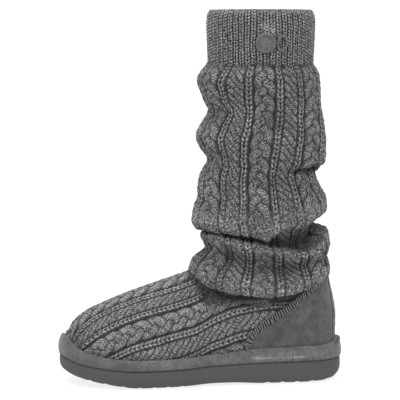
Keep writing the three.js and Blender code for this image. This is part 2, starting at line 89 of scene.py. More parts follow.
# The shaft's folds: reach in front, outside, behind and inside, each with its height. The rows are the
# part's, with the two overhanging folds drawn sharper and the main crease cut deeper.
FOLDS = np.array([
    # front, z, outer, z, back, z, inner, z
    (0.9, 0.262, 0.7, 0.276, 0.97, 0.3, 0.7, 0.276),
    (1.27, 0.27, 1, 0.24, 1.26, 0.284, 0.97, 0.246),
    (1.37, 0.296, 1.14, 0.264, 1.31, 0.297, 1.07, 0.269),
    (1.26, 0.332, 1.11, 0.291, 1.28, 0.317, 1.05, 0.294),
    (1.04, 0.357, 0.93, 0.316, 1.25, 0.337, 0.95, 0.32),
    (1.06, 0.374, 1.03, 0.342, 1.29, 0.363, 1.01, 0.343),
    (1.13, 0.389, 1.1, 0.36, 1.29, 0.386, 1.06, 0.364),
    (1.12, 0.398, 1.03, 0.374, 1.24, 0.409, 1, 0.38),
    (1.05, 0.404, 0.86, 0.382, 0.94, 0.423, 0.88, 0.389),
    (1.04, 0.409, 0.85, 0.399, 0.94, 0.432, 0.88, 0.4),
    (1.2, 0.409, 1.06, 0.3935, 1.06, 0.436, 1.05, 0.395),
    (1.3, 0.427, 1.145, 0.408, 1.22, 0.452, 1.12, 0.412),
    (1.29, 0.449, 1.145, 0.443, 1.24, 0.471, 1.135, 0.443),
    (1.24, 0.473, 1.135, 0.471, 1.19, 0.494, 1.115, 0.471),
    (1.17, 0.496, 1.115, 0.5, 1.13, 0.517, 1.095, 0.5),
    (1.17, 0.52, 1.095, 0.526, 1.07, 0.537, 1.075, 0.526),
    (1.13, 0.557, 1.085, 0.551, 1.01, 0.564, 1.065, 0.551),
    (1.01, 0.591, 1.09, 0.577, 1.1, 0.572, 1.075, 0.58),
    (1.035, 0.609, 1.115, 0.606, 1.18, 0.592, 1.095, 0.609),
    (1.135, 0.633, 1.125, 0.631, 1.2, 0.62, 1.105, 0.634),
    (1.2, 0.663, 1.125, 0.66, 1.2, 0.649, 1.105, 0.663),
    (1.11, 0.695, 1.115, 0.694, 1.17, 0.686, 1.095, 0.697),
    (0.98, 0.731, 1.085, 0.726, 1.14, 0.72, 1.075, 0.729),
    (1.04, 0.754, 1.095, 0.751, 1.115, 0.749, 1.085, 0.751),
    (1.12, 0.783, 1.105, 0.78, 1.095, 0.78, 1.095, 0.78),
    (1.18, 0.809, 1.115, 0.809, 1.08, 0.806, 1.105, 0.809),
    (1.13, 0.831, 1.095, 0.831, 1.055, 0.831, 1.075, 0.831),
    (1, 0.856, 1, 0.851, 0.97, 0.853, 0.99, 0.851),
    (0.99, 0.869, 0.985, 0.866, 0.965, 0.866, 0.98, 0.866),
    (1.01, 0.943, 1, 0.943, 0.99, 0.943, 1, 0.943),
    (1.01, 0.991, 1, 0.991, 0.99, 0.991, 1, 0.991),
    (0.98, 1, 0.97, 1, 0.96, 1, 0.97, 1),
])
CREASE_ROW = 8.5
CUFF_ROW = 27

# How far the main crease leaves its plain curve, in degrees round the shaft and millimetres of height
CREASE_PATH = [(-180, 0.5), (-150, 3), (-120, 3.3), (-100, 1.4), (-85, -1.6), (-70, -7.9), (-52, -10.5),
               (-38, -7.5), (-15, -1.6), (0, 1), (40, -3), (80, -6), (120, 0), (150, 2)]
LIP_PATH = [(-180, 0.5), (-150, 3), (-120, 3.3), (-100, 1.4), (-93, -1), (-88, 0.5), (-83, 4.5), (-77, 7.5),
            (-71, 8.5), (-65, 7.5), (-58, 5), (-50, 4), (-38, 5), (-15, 3), (0, 1), (40, -3), (80, -6),
            (120, 0), (150, 2)]
CREASE_SHARE = [0, 0, 0, 0.05, 0.2, 0.45, 0.8, 1, 1, 1, 1, 0.9, 0.7, 0.45, 0.25, 0.1]

# How far the knit's columns wander round the shaft, in degrees, at angles from the outer side (across)
# and at heights (down)
DRIFT_ANGLE = [-180, -90, -60, -40, -26.5, -13, 3.5, 20, 33.5, 46.7, 63.5, 80, 100, 130, 180]
DRIFT = [
    (300, 0, 0, 1, 3, 3, 2.3, 0, -3, -5, -6, -6, -4, 0, 0, 0),
    (292, 0, 0, 1, 3.2, 3, 2.3, -0.5, -3.8, -5.5, -6.7, -7, -5, 0, 0, 0),
    (279, 0, 0, 0, 0.7, 3, 1.8, -0.5, -2.8, -4.5, -5.5, -5, -3, 0, 0, 0),
    (265, 0, 0, 0, -0.3, -0.5, -0.7, -1.5, -1.8, -3.8, -4.2, -2, 0, 0, 0, 0),
    (252, 0, 0, 1, 1.7, -1.5, -1.2, -2.5, -2.8, -5, -5.4, -5, -3, 0, 0, 0),
    (239, 0, 0, 1, 1.7, 0.5, -0.2, -3.5, -5.8, -7.5, -8.5, -8, -5, 0, 0, 0),
    (226, 0, 0, 0, 0, -1.5, -2.7, -5, -8.3, -9.5, -10.4, -11, -8, -3, 0, 0),
    (212, 0, 0, -1, -3.3, -7, -7.2, -8, -9.8, -11, -11.5, -14, -13, -7, 0, 0),
    (198, 0, 0, 1, 1.2, -4.5, -6.2, -8.5, -12.3, -14, -14.2, -18, -18, -10, 0, 0),
    (183, 0, 0, 2, 4.5, -1, -4, -7.5, -11.8, -12.5, -13.2, -17, -15, -8, 0, 0),
    (168, 0, 0, 3, 7, 2.5, -2.8, -6.5, -10.3, -11.5, -11, -12, -8, -3, 0, 0),
    (145, 0, 0, 3, 8, 3.5, 0, -4, -7.5, -8, -7, -5, -2, 0, 0, 0),
    (110, 0, 0, 4, 9, 4, 2.3, -1, -4.3, -4.5, -5.7, 0, 0, 0, 0, 0),
    (80, 0, 0, 3, 7, 3, 2, -1, -3, -3, -3, 0, 0, 0, 0, 0),
]


# Curves and tables

join = np.concatenate


def smooth(x, low, high):
    t = np.clip((x - low) / (high - low), 0, 1)
    return t * t * (3 - 2 * t)


def bell(off, width, power=2):
    """1 where off is nothing, and falling to nothing on both sides."""
    return np.exp(-((off / width) ** power))


def hermite(t, start, end, start_slope, end_slope):
    return ((2 * t**3 - 3 * t**2 + 1) * start + (t**3 - 2 * t**2 + t) * start_slope
            + (3 * t**2 - 2 * t**3) * end + (t**3 - t**2) * end_slope)


def value_at(table, column, along):
    """A column of a table at shares of the length, smooth and without overshoot."""
    x = np.array(table["along"], float)
    y = np.array(table[column], float)
    secant = np.diff(y) / np.diff(x)
    slope = np.zeros_like(y)
    before, after = secant[:-1], secant[1:]
    same = before * after > 0
    slope[1:-1][same] = 2 * before[same] * after[same] / (before[same] + after[same])
    at = np.clip(along, x[0], x[-1])
    k = np.clip(np.searchsorted(x, at, side="right") - 1, 0, len(x) - 2)
    span = x[k + 1] - x[k]
    return hermite((at - x[k]) / span, y[k], y[k + 1], span * slope[k], span * slope[k + 1])


def table_rows(table, share, slack):
    """A table's columns at fractional rows, through a smooth curve."""
    last = len(table) - 1
    k = np.clip(np.floor(share).astype(int), 0, last - 1)
    p0, p1, p2, p3 = (table[np.clip(k + j, 0, last)] for j in (-1, 0, 1, 2))
    return hermite((share - k)[:, None], p1, p2, slack * (p2 - p0), slack * (p3 - p1))


def length_along(line):
    """The length run at each point of a line, from its start."""
    return join([[0], np.cumsum(np.linalg.norm(np.diff(line, axis=0), axis=1))])


def centripetal(points, per_span):
    """A closed centripetal curve through points, with per_span points for each span."""
    n = len(points)
    t = (np.arange(per_span) / per_span)[:, None]
    out = []
    for i in range(n):
        p = [points[(i + k - 1) % n] for k in range(4)]
        d = [max(np.linalg.norm(p[k + 1] - p[k]) ** 0.5, 1e-6) for k in range(3)]
        m1 = ((p[1] - p[0]) / d[0] - (p[2] - p[0]) / (d[0] + d[1]) + (p[2] - p[1]) / d[1]) * d[1]
        m2 = ((p[2] - p[1]) / d[1] - (p[3] - p[1]) / (d[1] + d[2]) + (p[3] - p[2]) / d[2]) * d[1]
        out.append(hermite(t, p[1], p[2], m1, m2))
    return join(out)


# The last: heights along the shoe, and rings round the sole

def share_along(x):
    return (HEEL_X - x) / SOLE_LENGTH


def underside(x):
    return HEEL_THICKNESS * value_at(SOLE, "rise", share_along(x))


def outsole_top(x):
    return underside(x) + HEEL_THICKNESS * value_at(SOLE, "outsole", share_along(x))


def band_height(x):
    return HEEL_BAND_HEIGHT * value_at(SOLE, "band", share_along(x))


def band_floor(x):
    return outsole_top(x) + HEEL_BAND_HEIGHT * value_at(SOLE, "floor", share_along(x))


def both_sides(ring):
    """A ring as its inner and its outer row, heel to toe."""
    half = len(ring) // 2
    return ring[: half + 1], join([ring[:1], ring[half:][::-1]])


def sole_outline(sections):
    """Inner and outer edge of the band's widest line, evenly spaced, as two rows of points heel to toe."""
    x = HEEL_X - np.array(OUTLINE_ALONG) * SOLE_LENGTH
    inner = np.c_[x, np.array(OUTLINE_INNER) * BALL_WIDTH]
    outer = np.c_[x, -np.array(OUTLINE_OUTER) * BALL_WIDTH][1:-1][::-1]
    edges = both_sides(centripetal(join([inner, outer]), 60))
    run = (length_along(edges[0]) + length_along(edges[1])) / 2
    even = np.linspace(0, run[-1], sections)
    return [np.c_[np.interp(even, run, edge[:, 0]), np.interp(even, run, edge[:, 1])] for edge in edges]


def sole_ring(edges, inset, height):
    """The outline moved inwards by inset, at height(x): one closed ring, inner side first."""
    inner, outer = edges
    ring = join([inner, outer[1:-1][::-1]])
    tangent = np.roll(ring, -1, axis=0) - np.roll(ring, 1, axis=0)
    tangent /= np.linalg.norm(tangent, axis=1)[:, None]
    amount = inset(ring[:, 0]) if callable(inset) else inset
    x = ring[:, 0] - tangent[:, 1] * amount
    y = ring[:, 1] + tangent[:, 0] * amount
    return np.c_[x, y + AXIS_Y, height(x)]


# Meshes

def add_object(name, data):
    thing = bpy.data.objects.new(name, data)
    bpy.context.collection.objects.link(thing)
    return thing


def make_piece(name, points, faces, material, uv=None, masks=None):
    """A mesh object from millimetre points, riding on the boot's one body."""
    mesh = bpy.data.meshes.new(name)
    mesh.from_pydata((points * MM).tolist(), [], [tuple(f) for f in faces])
    if uv is not None:
        layer = mesh.uv_layers.new(name="UVMap")
        index = np.empty(len(mesh.loops), int)
        mesh.loops.foreach_get("vertex_index", index)
        layer.data.foreach_set("uv", uv[index].astype(np.float32).ravel())
    for key, values in (masks or {}).items():
        attribute = mesh.attributes.new(key, "FLOAT", "POINT")
        attribute.data.foreach_set("value", values.astype(np.float32).ravel())
    mesh.update()
    mesh.polygons.foreach_set("use_smooth", [True] * len(mesh.polygons))
    mesh.materials.append(material)
    piece = add_object(name, mesh)
    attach(piece, "root")
    return piece


def grid_faces(rows, columns, wrap):
    """Quads between the points of a grid, closed round the columns where wrap is set."""
    i, j = np.meshgrid(np.arange(rows - 1), np.arange(columns if wrap else columns - 1), indexing="ij")
    a = i * columns + j
    b = i * columns + (j + 1) % columns
    return np.stack([a, b, b + columns, a + columns], -1).reshape(-1, 4)


def outward(grid, wrap):
    """Unit normals of a grid of points, away from the boot."""
    across = (np.roll(grid, -1, axis=1) - np.roll(grid, 1, axis=1)) / 2 if wrap else np.gradient(grid, axis=1)
    normal = np.cross(across, np.gradient(grid, axis=0))
    normal /= np.maximum(np.linalg.norm(normal, axis=2, keepdims=True), 1e-9)
    centre = grid.reshape(-1, 3).mean(0)
    return -normal if np.sum((grid - centre) * normal) < 0 else normal


def sheet_piece(name, grid, normal, height, material, wrap, masks, uv=None, keep=None):
    """A piece from a grid lifted along its normals, its faces turned the normals' way."""
    points = (grid + normal * height[..., None]).reshape(-1, 3)
    faces = grid_faces(*grid.shape[:2], wrap)
    if keep is not None:
        faces = faces[keep.ravel()[faces].all(axis=1)]
    a, b, c = (points[faces[:, k]] for k in range(3))
    if np.sum(np.cross(b - a, c - a) * normal.reshape(-1, 3)[faces[:, 0]]) < 0:
        faces = faces[:, ::-1]
    if uv is not None:
        uv = np.stack(uv, -1).reshape(-1, 2)
    return make_piece(name, points, faces, material, uv, masks)


def soft_noise(grid, scale, seed):
    """Smooth numbers between -1 and 1 over places in space."""
    draw = np.random.default_rng(seed)
    total = np.zeros(grid.shape[:2])
    for _ in range(9):
        way = draw.normal(size=3)
        way /= np.linalg.norm(way)
        total += np.sin(grid @ way * 2 * np.pi / (scale * draw.uniform(0.7, 1.5)) + draw.uniform(0, 6.3))
    return total / 4.2


# The knit: heights in millimetres over the cloth, from a place across the columns and along them.
# Each pattern gives its height, the shade painted into its hollows, and the place within its own stitches.

REPEAT = 57.0  # one plait, a rib, a rope and a rib
RIB_MIDDLE = 16.0
PLAIT = 11.6  # half widths
ROPE = 8.0
RIB = 4.4
LINK = 4.3  # length of a stitch of the ribs
PLAIT_TURN = 43.5
PLAIT_SWAY = 5.6  # a strand's swing to each side
STRAND = 5.1  # its half width, its rise over the cloth, and how far it passes over and under
STRAND_RISE = 2.2
STRAND_LIFT = 0.9
ROPE_PITCH = 7.3
ROPE_SLANT = math.radians(53)  # from the column
STITCH_WIDTH = 3.0
STITCH_LENGTH = 2.6
GROUND = -1.4


def frac(x):
    return x - np.floor(x)


def plait(x, v):
    """Three plaited strands, the highest one at each place."""
    pace = 2 * np.pi / PLAIT_TURN
    t = np.stack([pace * v + 2 * np.pi * k / 3 for k in range(3)])
    off = (x - PLAIT_SWAY * np.sin(t)) / np.sqrt(1 + (PLAIT_SWAY * pace * np.cos(t)) ** 2)
    dome = np.sqrt(np.clip(1 - (off / STRAND) ** 2, 0, 1))
    heights = np.where(np.abs(off) < STRAND, dome * STRAND_RISE + STRAND_LIFT * np.sin(2 * t), GROUND)
    order = np.argsort(heights, axis=0)
    high, second = (np.take_along_axis(heights, order[k][None], 0)[0] for k in (-1, -2))
    t = np.take_along_axis(t, order[-1][None], 0)[0]
    turned = (t - np.pi / 4 + np.pi / 2) % np.pi - np.pi / 2
    side = np.sign(np.cos(t - turned))
    tilt = math.atan(PLAIT_SWAY * pace * math.cos(np.pi / 4)) * side
    aside = x - PLAIT_SWAY * math.sin(np.pi / 4) * side
    down = turned / pace
    across = aside * np.cos(tilt) - down * np.sin(tilt)
    along = down * np.cos(tilt) + aside * np.sin(tilt)
    crown = np.clip((high - STRAND_LIFT * np.sin(2 * t)) / STRAND_RISE, 0, 1)
    # Painted shade where a strand passes under another, and down each strand's sides
    hollow = np.exp(-(high - second) / 0.62) + 0.6 * (1 - crown) ** 1.3
    return high, hollow, across / STITCH_WIDTH + 0.5, along / STITCH_LENGTH


def rope(x, v):
    """A two-strand rope, its strands side by side on a slant."""
    side = np.clip(x / ROPE, -1, 1)
    lean = ROPE / math.tan(ROPE_SLANT)
    phase = v / ROPE_PITCH - 0.9 * lean / ROPE_PITCH * np.sin(np.pi / 2 * side)
    beat = frac(phase)
    strand = np.sin(np.pi * beat) ** 0.8
    dome = np.sqrt(np.clip(1 - side**2, 0, 1))
    # Painted shade in the groove between strands, and down one side of each strand
    hollow = 0.9 * bell(np.minimum(beat, 1 - beat), 0.12) + 0.35 * (1 - strand) * (beat > 0.5)
    along = (x * math.sin(ROPE_SLANT) + v * math.cos(ROPE_SLANT)) / STITCH_LENGTH
    return dome * (0.2 + 2.3 * strand) - 0.6, hollow, 2 * phase, along


def chain(x, v, half, link):
    """A rib of one column of stitches: two slanting legs, and a hole between them at each stitch, with shade
    painted into it.
    """
    side = np.clip(np.abs(x) / half, 0, 1)
    leg = np.sin(np.pi * frac(v / link + 0.45 * side)) ** 0.7
    profile = np.sin(np.pi * np.clip(0.2 + 0.8 * side, 0, 1)) ** 0.7
    middle = bell(x, 0.26 * half)
    hole = middle * (0.3 + 0.7 * (1 - np.sin(np.pi * frac(v / link)) ** 0.8))
    height = profile * (0.5 + 0.5 * leg) - 0.9 * hole
    # Painted shade in the hole and between the legs, and a little over the whole rib
    hollow = 1.2 * hole + 0.45 * (1 - leg) ** 2 * (1 - middle) + 0.17
    return height, np.clip(hollow, 0, 1), x / (2 * half) + 0.5, v / link


def cable_knit(u, v):
    """The cable knit: u across from the middle of a plait, v down the column."""
    column = np.floor(u / REPEAT + 0.5)
    x = u - column * REPEAT
    ax = np.abs(x)
    rope_x = x - np.where(x > 0, REPEAT / 2, -REPEAT / 2)
    half_rib = RIB - 0.9
    in_plait = ax < PLAIT
    where = [in_plait, np.abs(ax - RIB_MIDDLE) < half_rib, np.abs(rope_x) < ROPE]
    patterns = zip(
        plait(x, v + 5.3 * column),
        chain((ax - RIB_MIDDLE) * np.sign(x), v + 1.3 * np.sign(x), half_rib, LINK),
        rope(rope_x, v + 5.7 * np.floor(u / REPEAT)),
        (-1.2, 0.0, 0.5, 0.0),
    )
    height, hollow, across, along = (np.select(where, parts[:3], parts[3]) for parts in patterns)
    # The ditches beside the ribs are cut down, with shade painted into them
    ditch = bell(np.abs(ax - RIB_MIDDLE) - RIB + 0.2, 0.8)
    height = np.maximum(height - in_plait, GROUND) * (1 - 0.7 * ditch) - 1.5 * ditch
    return height, np.clip(hollow + ditch, 0, 1), across, along


def rib_knit(u, v, pitch, link):
    """The cuff's ribs: one column of stitches to each pitch, with a ditch between."""
    column = np.floor(u / pitch + 0.5)
    x = u - column * pitch
    half = 0.43 * pitch
    height, hollow, _, along = chain(x, v + 0.37 * link * column, half, link)
    # The ditch between ribs is cut down, with shade painted into it
    ditch = bell(np.abs(x) - pitch / 2, 0.11 * pitch)
    inside = np.abs(x) < half
    height = 0.85 * np.where(inside, height, 0) - 1.1 * ditch
    return height, np.clip(np.where(inside, hollow, 0) + ditch, 0, 1), x / pitch + 0.5, along


# The shaft

# Soft troughs and ridges: angle, height, their reach, tilt in mm of height per degree, depth
LOW_CREASES = [
    (-52, 138, 17, 9.0, 0.05, -5.5),
    (-60, 128, 26, 4.5, 0.10, 2.0),
    (-118, 119, 30, 5.0, 0.02, -1.6),
    (-90, 96, 30, 5.0, 0.04, 1.2),
    (-150, 112, 22, 6.0, -0.10, -2.0),
    (40, 118, 34, 6.0, 0.04, -2.4),
]
SHAFT_CREASES = [
    (-43, 201, 25, 3.4, 0.03, -6.5),
    (-45, 209, 26, 4.5, 0.02, 2.2),
    (-66, 196, 16, 4.0, 0.06, -1.5),
    (-150, 256, 30, 6.5, 0.10, -2.6),
    (-128, 247, 16, 5.0, -0.35, -1.6),
    (-160, 213, 34, 6.5, 0.08, -2.0),
    (-122, 219, 20, 6.0, 0.12, -1.6),
    (-88, 262, 22, 8.0, -0.05, -1.3),
    (-60, 232, 24, 9.0, 0.05, 1.4),
    (-58, 252, 20, 6.0, -0.10, -1.3),
    (-100, 176, 46, 8.0, 0.02, 1.3),
    (-92, 190, 24, 6.0, -0.04, -1.2),
    (-30, 172, 22, 6.0, 0.10, 1.8),
    (-130, 287, 26, 7.0, -0.05, 1.2),
    (-92, 287, 20, 5.0, 0.0, 0.9),
    (60, 205, 40, 6.0, 0.06, -2.8),
    (110, 250, 40, 7.0, -0.08, -2.6),
    (85, 170, 44, 9.0, 0.03, 2.2),
    (20, 262, 34, 9.0, 0.05, -1.4),
]
OUTER = -98.0  # degrees, the direction that the photographed side faces
CABLE_ANGLE = OUTER + 3.5  # where a plait runs down the outer side
FOLD_BAND, RIDGE, VALLEY, ROLL = 11.4, 6.6, 4.3, 1.7  # rows of the fold table


def round_from(degrees, angle):
    """How far angles are round from another angle, between -180 and 180."""
    return (degrees - angle + 180) % 360 - 180


def crease_offset(degrees, path):
    """How far the main crease, or the lip over it, is moved up or down at angles round the shaft."""
    at, rise = np.array(path + [(180, path[0][1])]).T
    return np.interp(round_from(degrees, 0), at, rise)


def shaft_surface(rows, columns):
    """A grid over the shaft between two rows of the fold table, with each point's angle in degrees, the
    length from it down its column, and its row of the table."""
    first, last, count = rows
    dense = np.linspace(first, last, 600)
    table = table_rows(FOLDS, dense, 0.45)
    reach, rise = table[:, [0, 2]].mean(1), table[:, [1, 3]].mean(1)
    run = length_along(np.c_[reach * CUFF_DEPTH / 2, rise * BOOT_HEIGHT])
    share = np.interp(np.linspace(0, run[-1], count), run, dense)
    front, front_z, outer, outer_z, back, back_z, inner, inner_z = table_rows(FOLDS, share, 0.45).T[..., None]
    angle = np.linspace(-np.pi, np.pi, columns, endpoint=False)
    c, s = np.cos(angle), np.sin(angle)
    x = SHAFT_X + CUFF_DEPTH / 2 * np.where(c > 0, back, front) * c
    y = CUFF_WIDTH / 2 * np.where(s > 0, inner, outer) * s + AXIS_Y
    z = BOOT_HEIGHT * (np.where(c > 0, back_z, front_z) * c * c + np.where(s > 0, inner_z, outer_z) * s * s)
    degrees = np.degrees(angle) + 0 * z
    row = share[:, None] + 0 * z
    moved = np.interp(row, np.arange(len(CREASE_SHARE)), CREASE_SHARE, right=0)
    lip = smooth(row, CREASE_ROW + 0.3, CREASE_ROW + 1.5)
    z = z + moved * (crease_offset(degrees, CREASE_PATH) * (1 - lip) + crease_offset(degrees, LIP_PATH) * lip)
    grid = np.stack([x, y, z], -1)
    below = 1 - smooth(row, CREASE_ROW - 0.8, CREASE_ROW + 0.2)
    push = 0 * z
    for creases, where in ((SHAFT_CREASES, 1), (LOW_CREASES, below)):
        for at, height, wide, tall, tilt, depth in creases:
            off = round_from(degrees, at)
            push += where * depth * bell(off, wide) * bell(z - height - tilt * off, tall)
    grid = grid + outward(grid, True) * push[..., None]
    step = np.linalg.norm(np.diff(grid, axis=0), axis=2)
    run = join([np.zeros((1, columns)), np.cumsum(step, axis=0)])
    return grid, degrees, run[-1:] - run, row


def drift(degrees, z):
    """How far the columns have wandered at places on the shaft, in degrees."""
    rows, angles = np.array(DRIFT)[::-1], np.array(DRIFT_ANGLE)
    across = round_from(degrees, OUTER)
    i = np.clip(np.searchsorted(rows[:, 0], z) - 1, 0, len(rows) - 2)
    f = np.clip((z - rows[i, 0]) / (rows[i + 1, 0] - rows[i, 0]), 0, 1)
    j = np.clip(np.searchsorted(angles, across) - 1, 0, len(angles) - 2)
    g = smooth(across, angles[j], angles[j + 1])
    low, high = (rows[k, j + 1] * (1 - g) + rows[k, j + 2] * g for k in (i, i + 1))
    return low * (1 - f) + high * f


def knit_shaft(name, rows, material, v_offset):
    grid, degrees, run_down, row = shaft_surface(rows, 420)
    z = grid[..., 2]
    wander = 0.9 * soft_noise(grid, 46, 3) + 0.35 * soft_noise(grid, 15, 4)
    u = (degrees - CABLE_ANGLE - drift(degrees, z)) / 60 * REPEAT + wander
    v = run_down + v_offset + 0.8 * soft_noise(grid, 24, 5)
    height, hollow, across, along = cable_knit(u, v)
    # The pattern is stretched flat on the band over the crease, on the ridge under it and under the roll
    calm = 0.85 * bell(row - FOLD_BAND, 1.35, 4) + 0.25 * smooth(z, 288, 299)
    calm += 0.72 * bell(row - RIDGE, 1.0, 4) + 0.7 * bell(row - ROLL, 0.9, 4)
    calm = np.clip(calm * (0.95 + 0.2 * soft_noise(grid, 20, 7)), 0, 0.97)
    height = 0.85 * height * (1 - calm) + 0.22 * soft_noise(grid, 5.5, 6) - 0.15
    hollow = hollow * (1 - 0.9 * calm)
    # Shade in the crease and its pocket, the valley, the notch behind, under the cuff and under the roll
    off = round_from(degrees, OUTER)
    pocket = bell(off - 26, 17) * smooth(row, 8.7, 9.3)
    dark = bell(row - 8.9, 1.15) * (1 - 0.62 * pocket) + 0.15 * pocket * (row < 10.3)
    dark += bell(row - VALLEY, 1.1) * (0.3 + 0.5 * hollow)
    dark += 0.7 * bell(off - 49, 20) * smooth(row, 6.4, 7.4) * (row < CREASE_ROW + 1)
    dark += 0.8 * bell(off - 62, 30) * bell(z - 201.5, 3.4)
    dark += 0.35 * bell(z - 299, 2.5)
    dark += 0.16 + 0.22 * soft_noise(grid, 30, 12)
    dark += 0.7 * smooth(1.2 - row, 0, 1)
    masks = {"hollow": hollow, "shadow": np.clip(dark, 0, 1), "calm": calm}
    return sheet_piece(name, grid, outward(grid, True), height, material, True, masks, (across, along))


def knit_cuff(name, material):
    ribs, pitch, link = 54, 5.7, 2.85
    grid, degrees, run_down, _ = shaft_surface((CUFF_ROW + 0.35, len(FOLDS) - 1.05, 96), 756)
    corner = np.clip((grid[..., 2:] - 337) / 13, 0, 1) ** 2.5
    grid = grid - corner * 2.2 * outward(grid, True) * [1, 1, 0]
    z = grid[..., 2]
    wander = 0.35 * soft_noise(grid, 30, 8) + 0.2 * soft_noise(grid, 11, 9)
    beside_button = (degrees + 96) * bell(degrees + 94, 14) * bell(z - 318, 11)
    u = (degrees - 0.22 * beside_button) / 360 * ribs * pitch + wander
    v = run_down + 0.3 * soft_noise(grid, 9, 10)
    height, hollow, across, along = rib_knit(u, v, pitch, link)
    patch = bell(degrees + 91.5, 8, 4) * bell(z - 333, 6.0, 4)
    near_top = smooth(z, 344, 350)
    height = height * (1 - 0.75 * near_top) * (1 - 0.8 * patch) + 0.12 * soft_noise(grid, 5, 11)
    hollow = hollow * (1 - 0.5 * near_top) * (1 - 0.85 * patch)
    # The collar's edge, rounded over and turned down inside
    bend_steps, steps = 8, 25
    top = grid[-1]
    radial = (top - [SHAFT_X, AXIS_Y, 0]) * [1, 1, 0]
    radial /= np.linalg.norm(radial, axis=1)[:, None]
    k = np.arange(1, steps + 1)[:, None]
    bend = np.pi / 2 * np.minimum(k, bend_steps) / bend_steps
    turned = top - radial * (1.9 * np.sin(bend) + 0.25 * smooth(k, bend_steps, 12))[..., None]
    turned[..., 2] = BOOT_HEIGHT - 0.5 - 1.5 * (1 - np.cos(bend)) - 0.7 * np.maximum(k - bend_steps, 0)
    inner = rib_knit(np.repeat(u[-1:], steps, 0), -0.7 * (k - 1) + 0 * turned[..., 2], pitch, link)
    height = join([height, 0.4 * inner[0] * smooth(k - 1, 8, 14)])
    # Painted shade at the cuff's foot, where it gathers over the shaft, and over the collar turned down
    # inside
    dark = join([0.45 * (1 - smooth(z, 299, 303)), 0 * inner[1] + 0.25])
    masks = {"hollow": join([hollow, 0.6 * inner[1]]), "shadow": dark}
    normal = join([outward(grid, True), -np.repeat(radial[None], steps, 0)])
    uv = join([across, inner[2]]), join([along, inner[3]])
    return sheet_piece(name, join([grid, turned]), normal, height, material, True, masks, uv)


def shaft_lining(name, material):
    """The wrong side of the knit inside the shaft, with a skirt that reaches down into the foot."""
    grid, degrees, run_down, _ = shaft_surface((0.0, len(FOLDS) - 1.6, 150), 200)
    normal = outward(grid, True)
    inside = grid - normal * (KNIT_WALL - 0.4)
    drop = np.linspace(26, 3, 8)[:, None]
    skirt = np.repeat(inside[:1], len(drop), 0)
    skirt[..., :2] = (SHAFT_X, AXIS_Y) + 0.9 * (skirt[..., :2] - (SHAFT_X, AXIS_Y))
    skirt[..., 2] -= drop
    inside = join([skirt, inside])
    angle = np.radians(degrees[:1])
    away = np.stack([np.cos(angle), np.sin(angle), 0 * angle], -1)
    normal = join([np.repeat(away, len(drop), 0), normal])
    run_down = join([run_down[:1] + drop, run_down])
    u = (degrees[0] - CABLE_ANGLE) / 60 * REPEAT + 0 * run_down
    height, hollow, _, _ = cable_knit(u, run_down)
    # Painted shade over the lining, deeper further down inside the shaft
    masks = {"hollow": 0.5 * hollow, "shadow": 0.3 * smooth(300 - inside[..., 2], 0, 150)}
    uv = u / STITCH_WIDTH, run_down / STITCH_LENGTH
    return sheet_piece(name, inside, -normal, -0.15 * height, material, True, masks, uv)


# The knitted foot

# Creases on the foot, listed: place along and height, reach each way, tilt, depth, on the outer side
FOOT_CREASES = [
    (48, 76, 18, 1.9, 0.02, -2.4),
    (46, 80, 24, 2.8, 0.0, 1.3),
    (20, 84, 14, 2.4, -0.10, -1.6),
    (60, 70, 14, 2.2, 0.05, -1.0),
    (-4, 90, 10, 5.0, -0.55, -1.4),
    (-70, 50, 26, 7.0, -0.2, -0.7),
]

# Where the knit's columns lie on the foot: millimetres round from the ridge, and place in the pattern
FOOT_COLUMNS = [(-160, -168), (-9, -16), (23, 16), (40.5, 41), (70, 73), (94.5, 98), (150, 154)]


def foot_arch(left, right, grow):
    """The arches over matching edge points: their middle and half width, and their top and squareness."""
    middle, half = ((left + right) / 2).T[..., None], ((left - right) / 2).T[..., None]
    along = share_along(middle[0])
    return middle, half, INSTEP_HEIGHT * value_at(FOOT, "top", along) + grow, value_at(FOOT, "square", along)


def arch_points(middle, half, up, reach, z):
    """Points of the arches, from how far up and how far aside they are, in shares."""
    along = share_along(middle[0])
    spread = reach * (1 + value_at(FOOT, "flare", along) * up**3)
    x = middle[0] + half[0] * spread
    y = (middle[1] - AXIS_Y) * (1 - up * (1 - smooth(along, 0.45, 0.85))) + half[1] * spread + AXIS_Y
    lean = HEEL_LEAN * smooth(z, 0.5 * INSTEP_HEIGHT, 1.05 * INSTEP_HEIGHT)
    return np.stack([x - lean * np.maximum(0, 1 - 2 * share_along(x)), y, z], -1)


def foot_sections(edges, grow, base, across):
    """Arches of the foot from the inner to the outer edge, and how far round from the ridge each point is."""
    middle, half, top, square = foot_arch(*both_sides(sole_ring(edges, BAND_OVERHANG - grow, base)), grow)
    steps = 720
    angle = np.linspace(0, np.pi, steps + 1)
    up = np.abs(np.sin(angle)) ** (2 / square)
    up[:, [0, -1]] = 0
    reach = np.sign(np.cos(angle)) * np.abs(np.cos(angle)) ** (2 / square)
    dense = arch_points(middle, half, up, reach, middle[2] + (top - middle[2]) * up)
    grid, arc = np.empty((len(dense), across, 3)), np.empty((len(dense), across))
    for i, line in enumerate(dense):
        run = length_along(line)
        even = np.linspace(0, run[-1], across)
        grid[i] = np.stack([np.interp(even, run, line[:, axis]) for axis in range(3)], -1)
        arc[i] = even - run[steps // 2]
    return grid, arc


def under_shaft(x, y, reach):
    """How far places are from the shaft's middle, 1 where the shaft's shell would be at this reach."""
    deep = np.where(x < SHAFT_X, 1.30, 1.28) * CUFF_DEPTH / 2 * reach
    wide = 1.08 * CUFF_WIDTH / 2 * reach
    return np.sqrt(((x - SHAFT_X) / deep) ** 2 + ((y - AXIS_Y) / wide) ** 2)


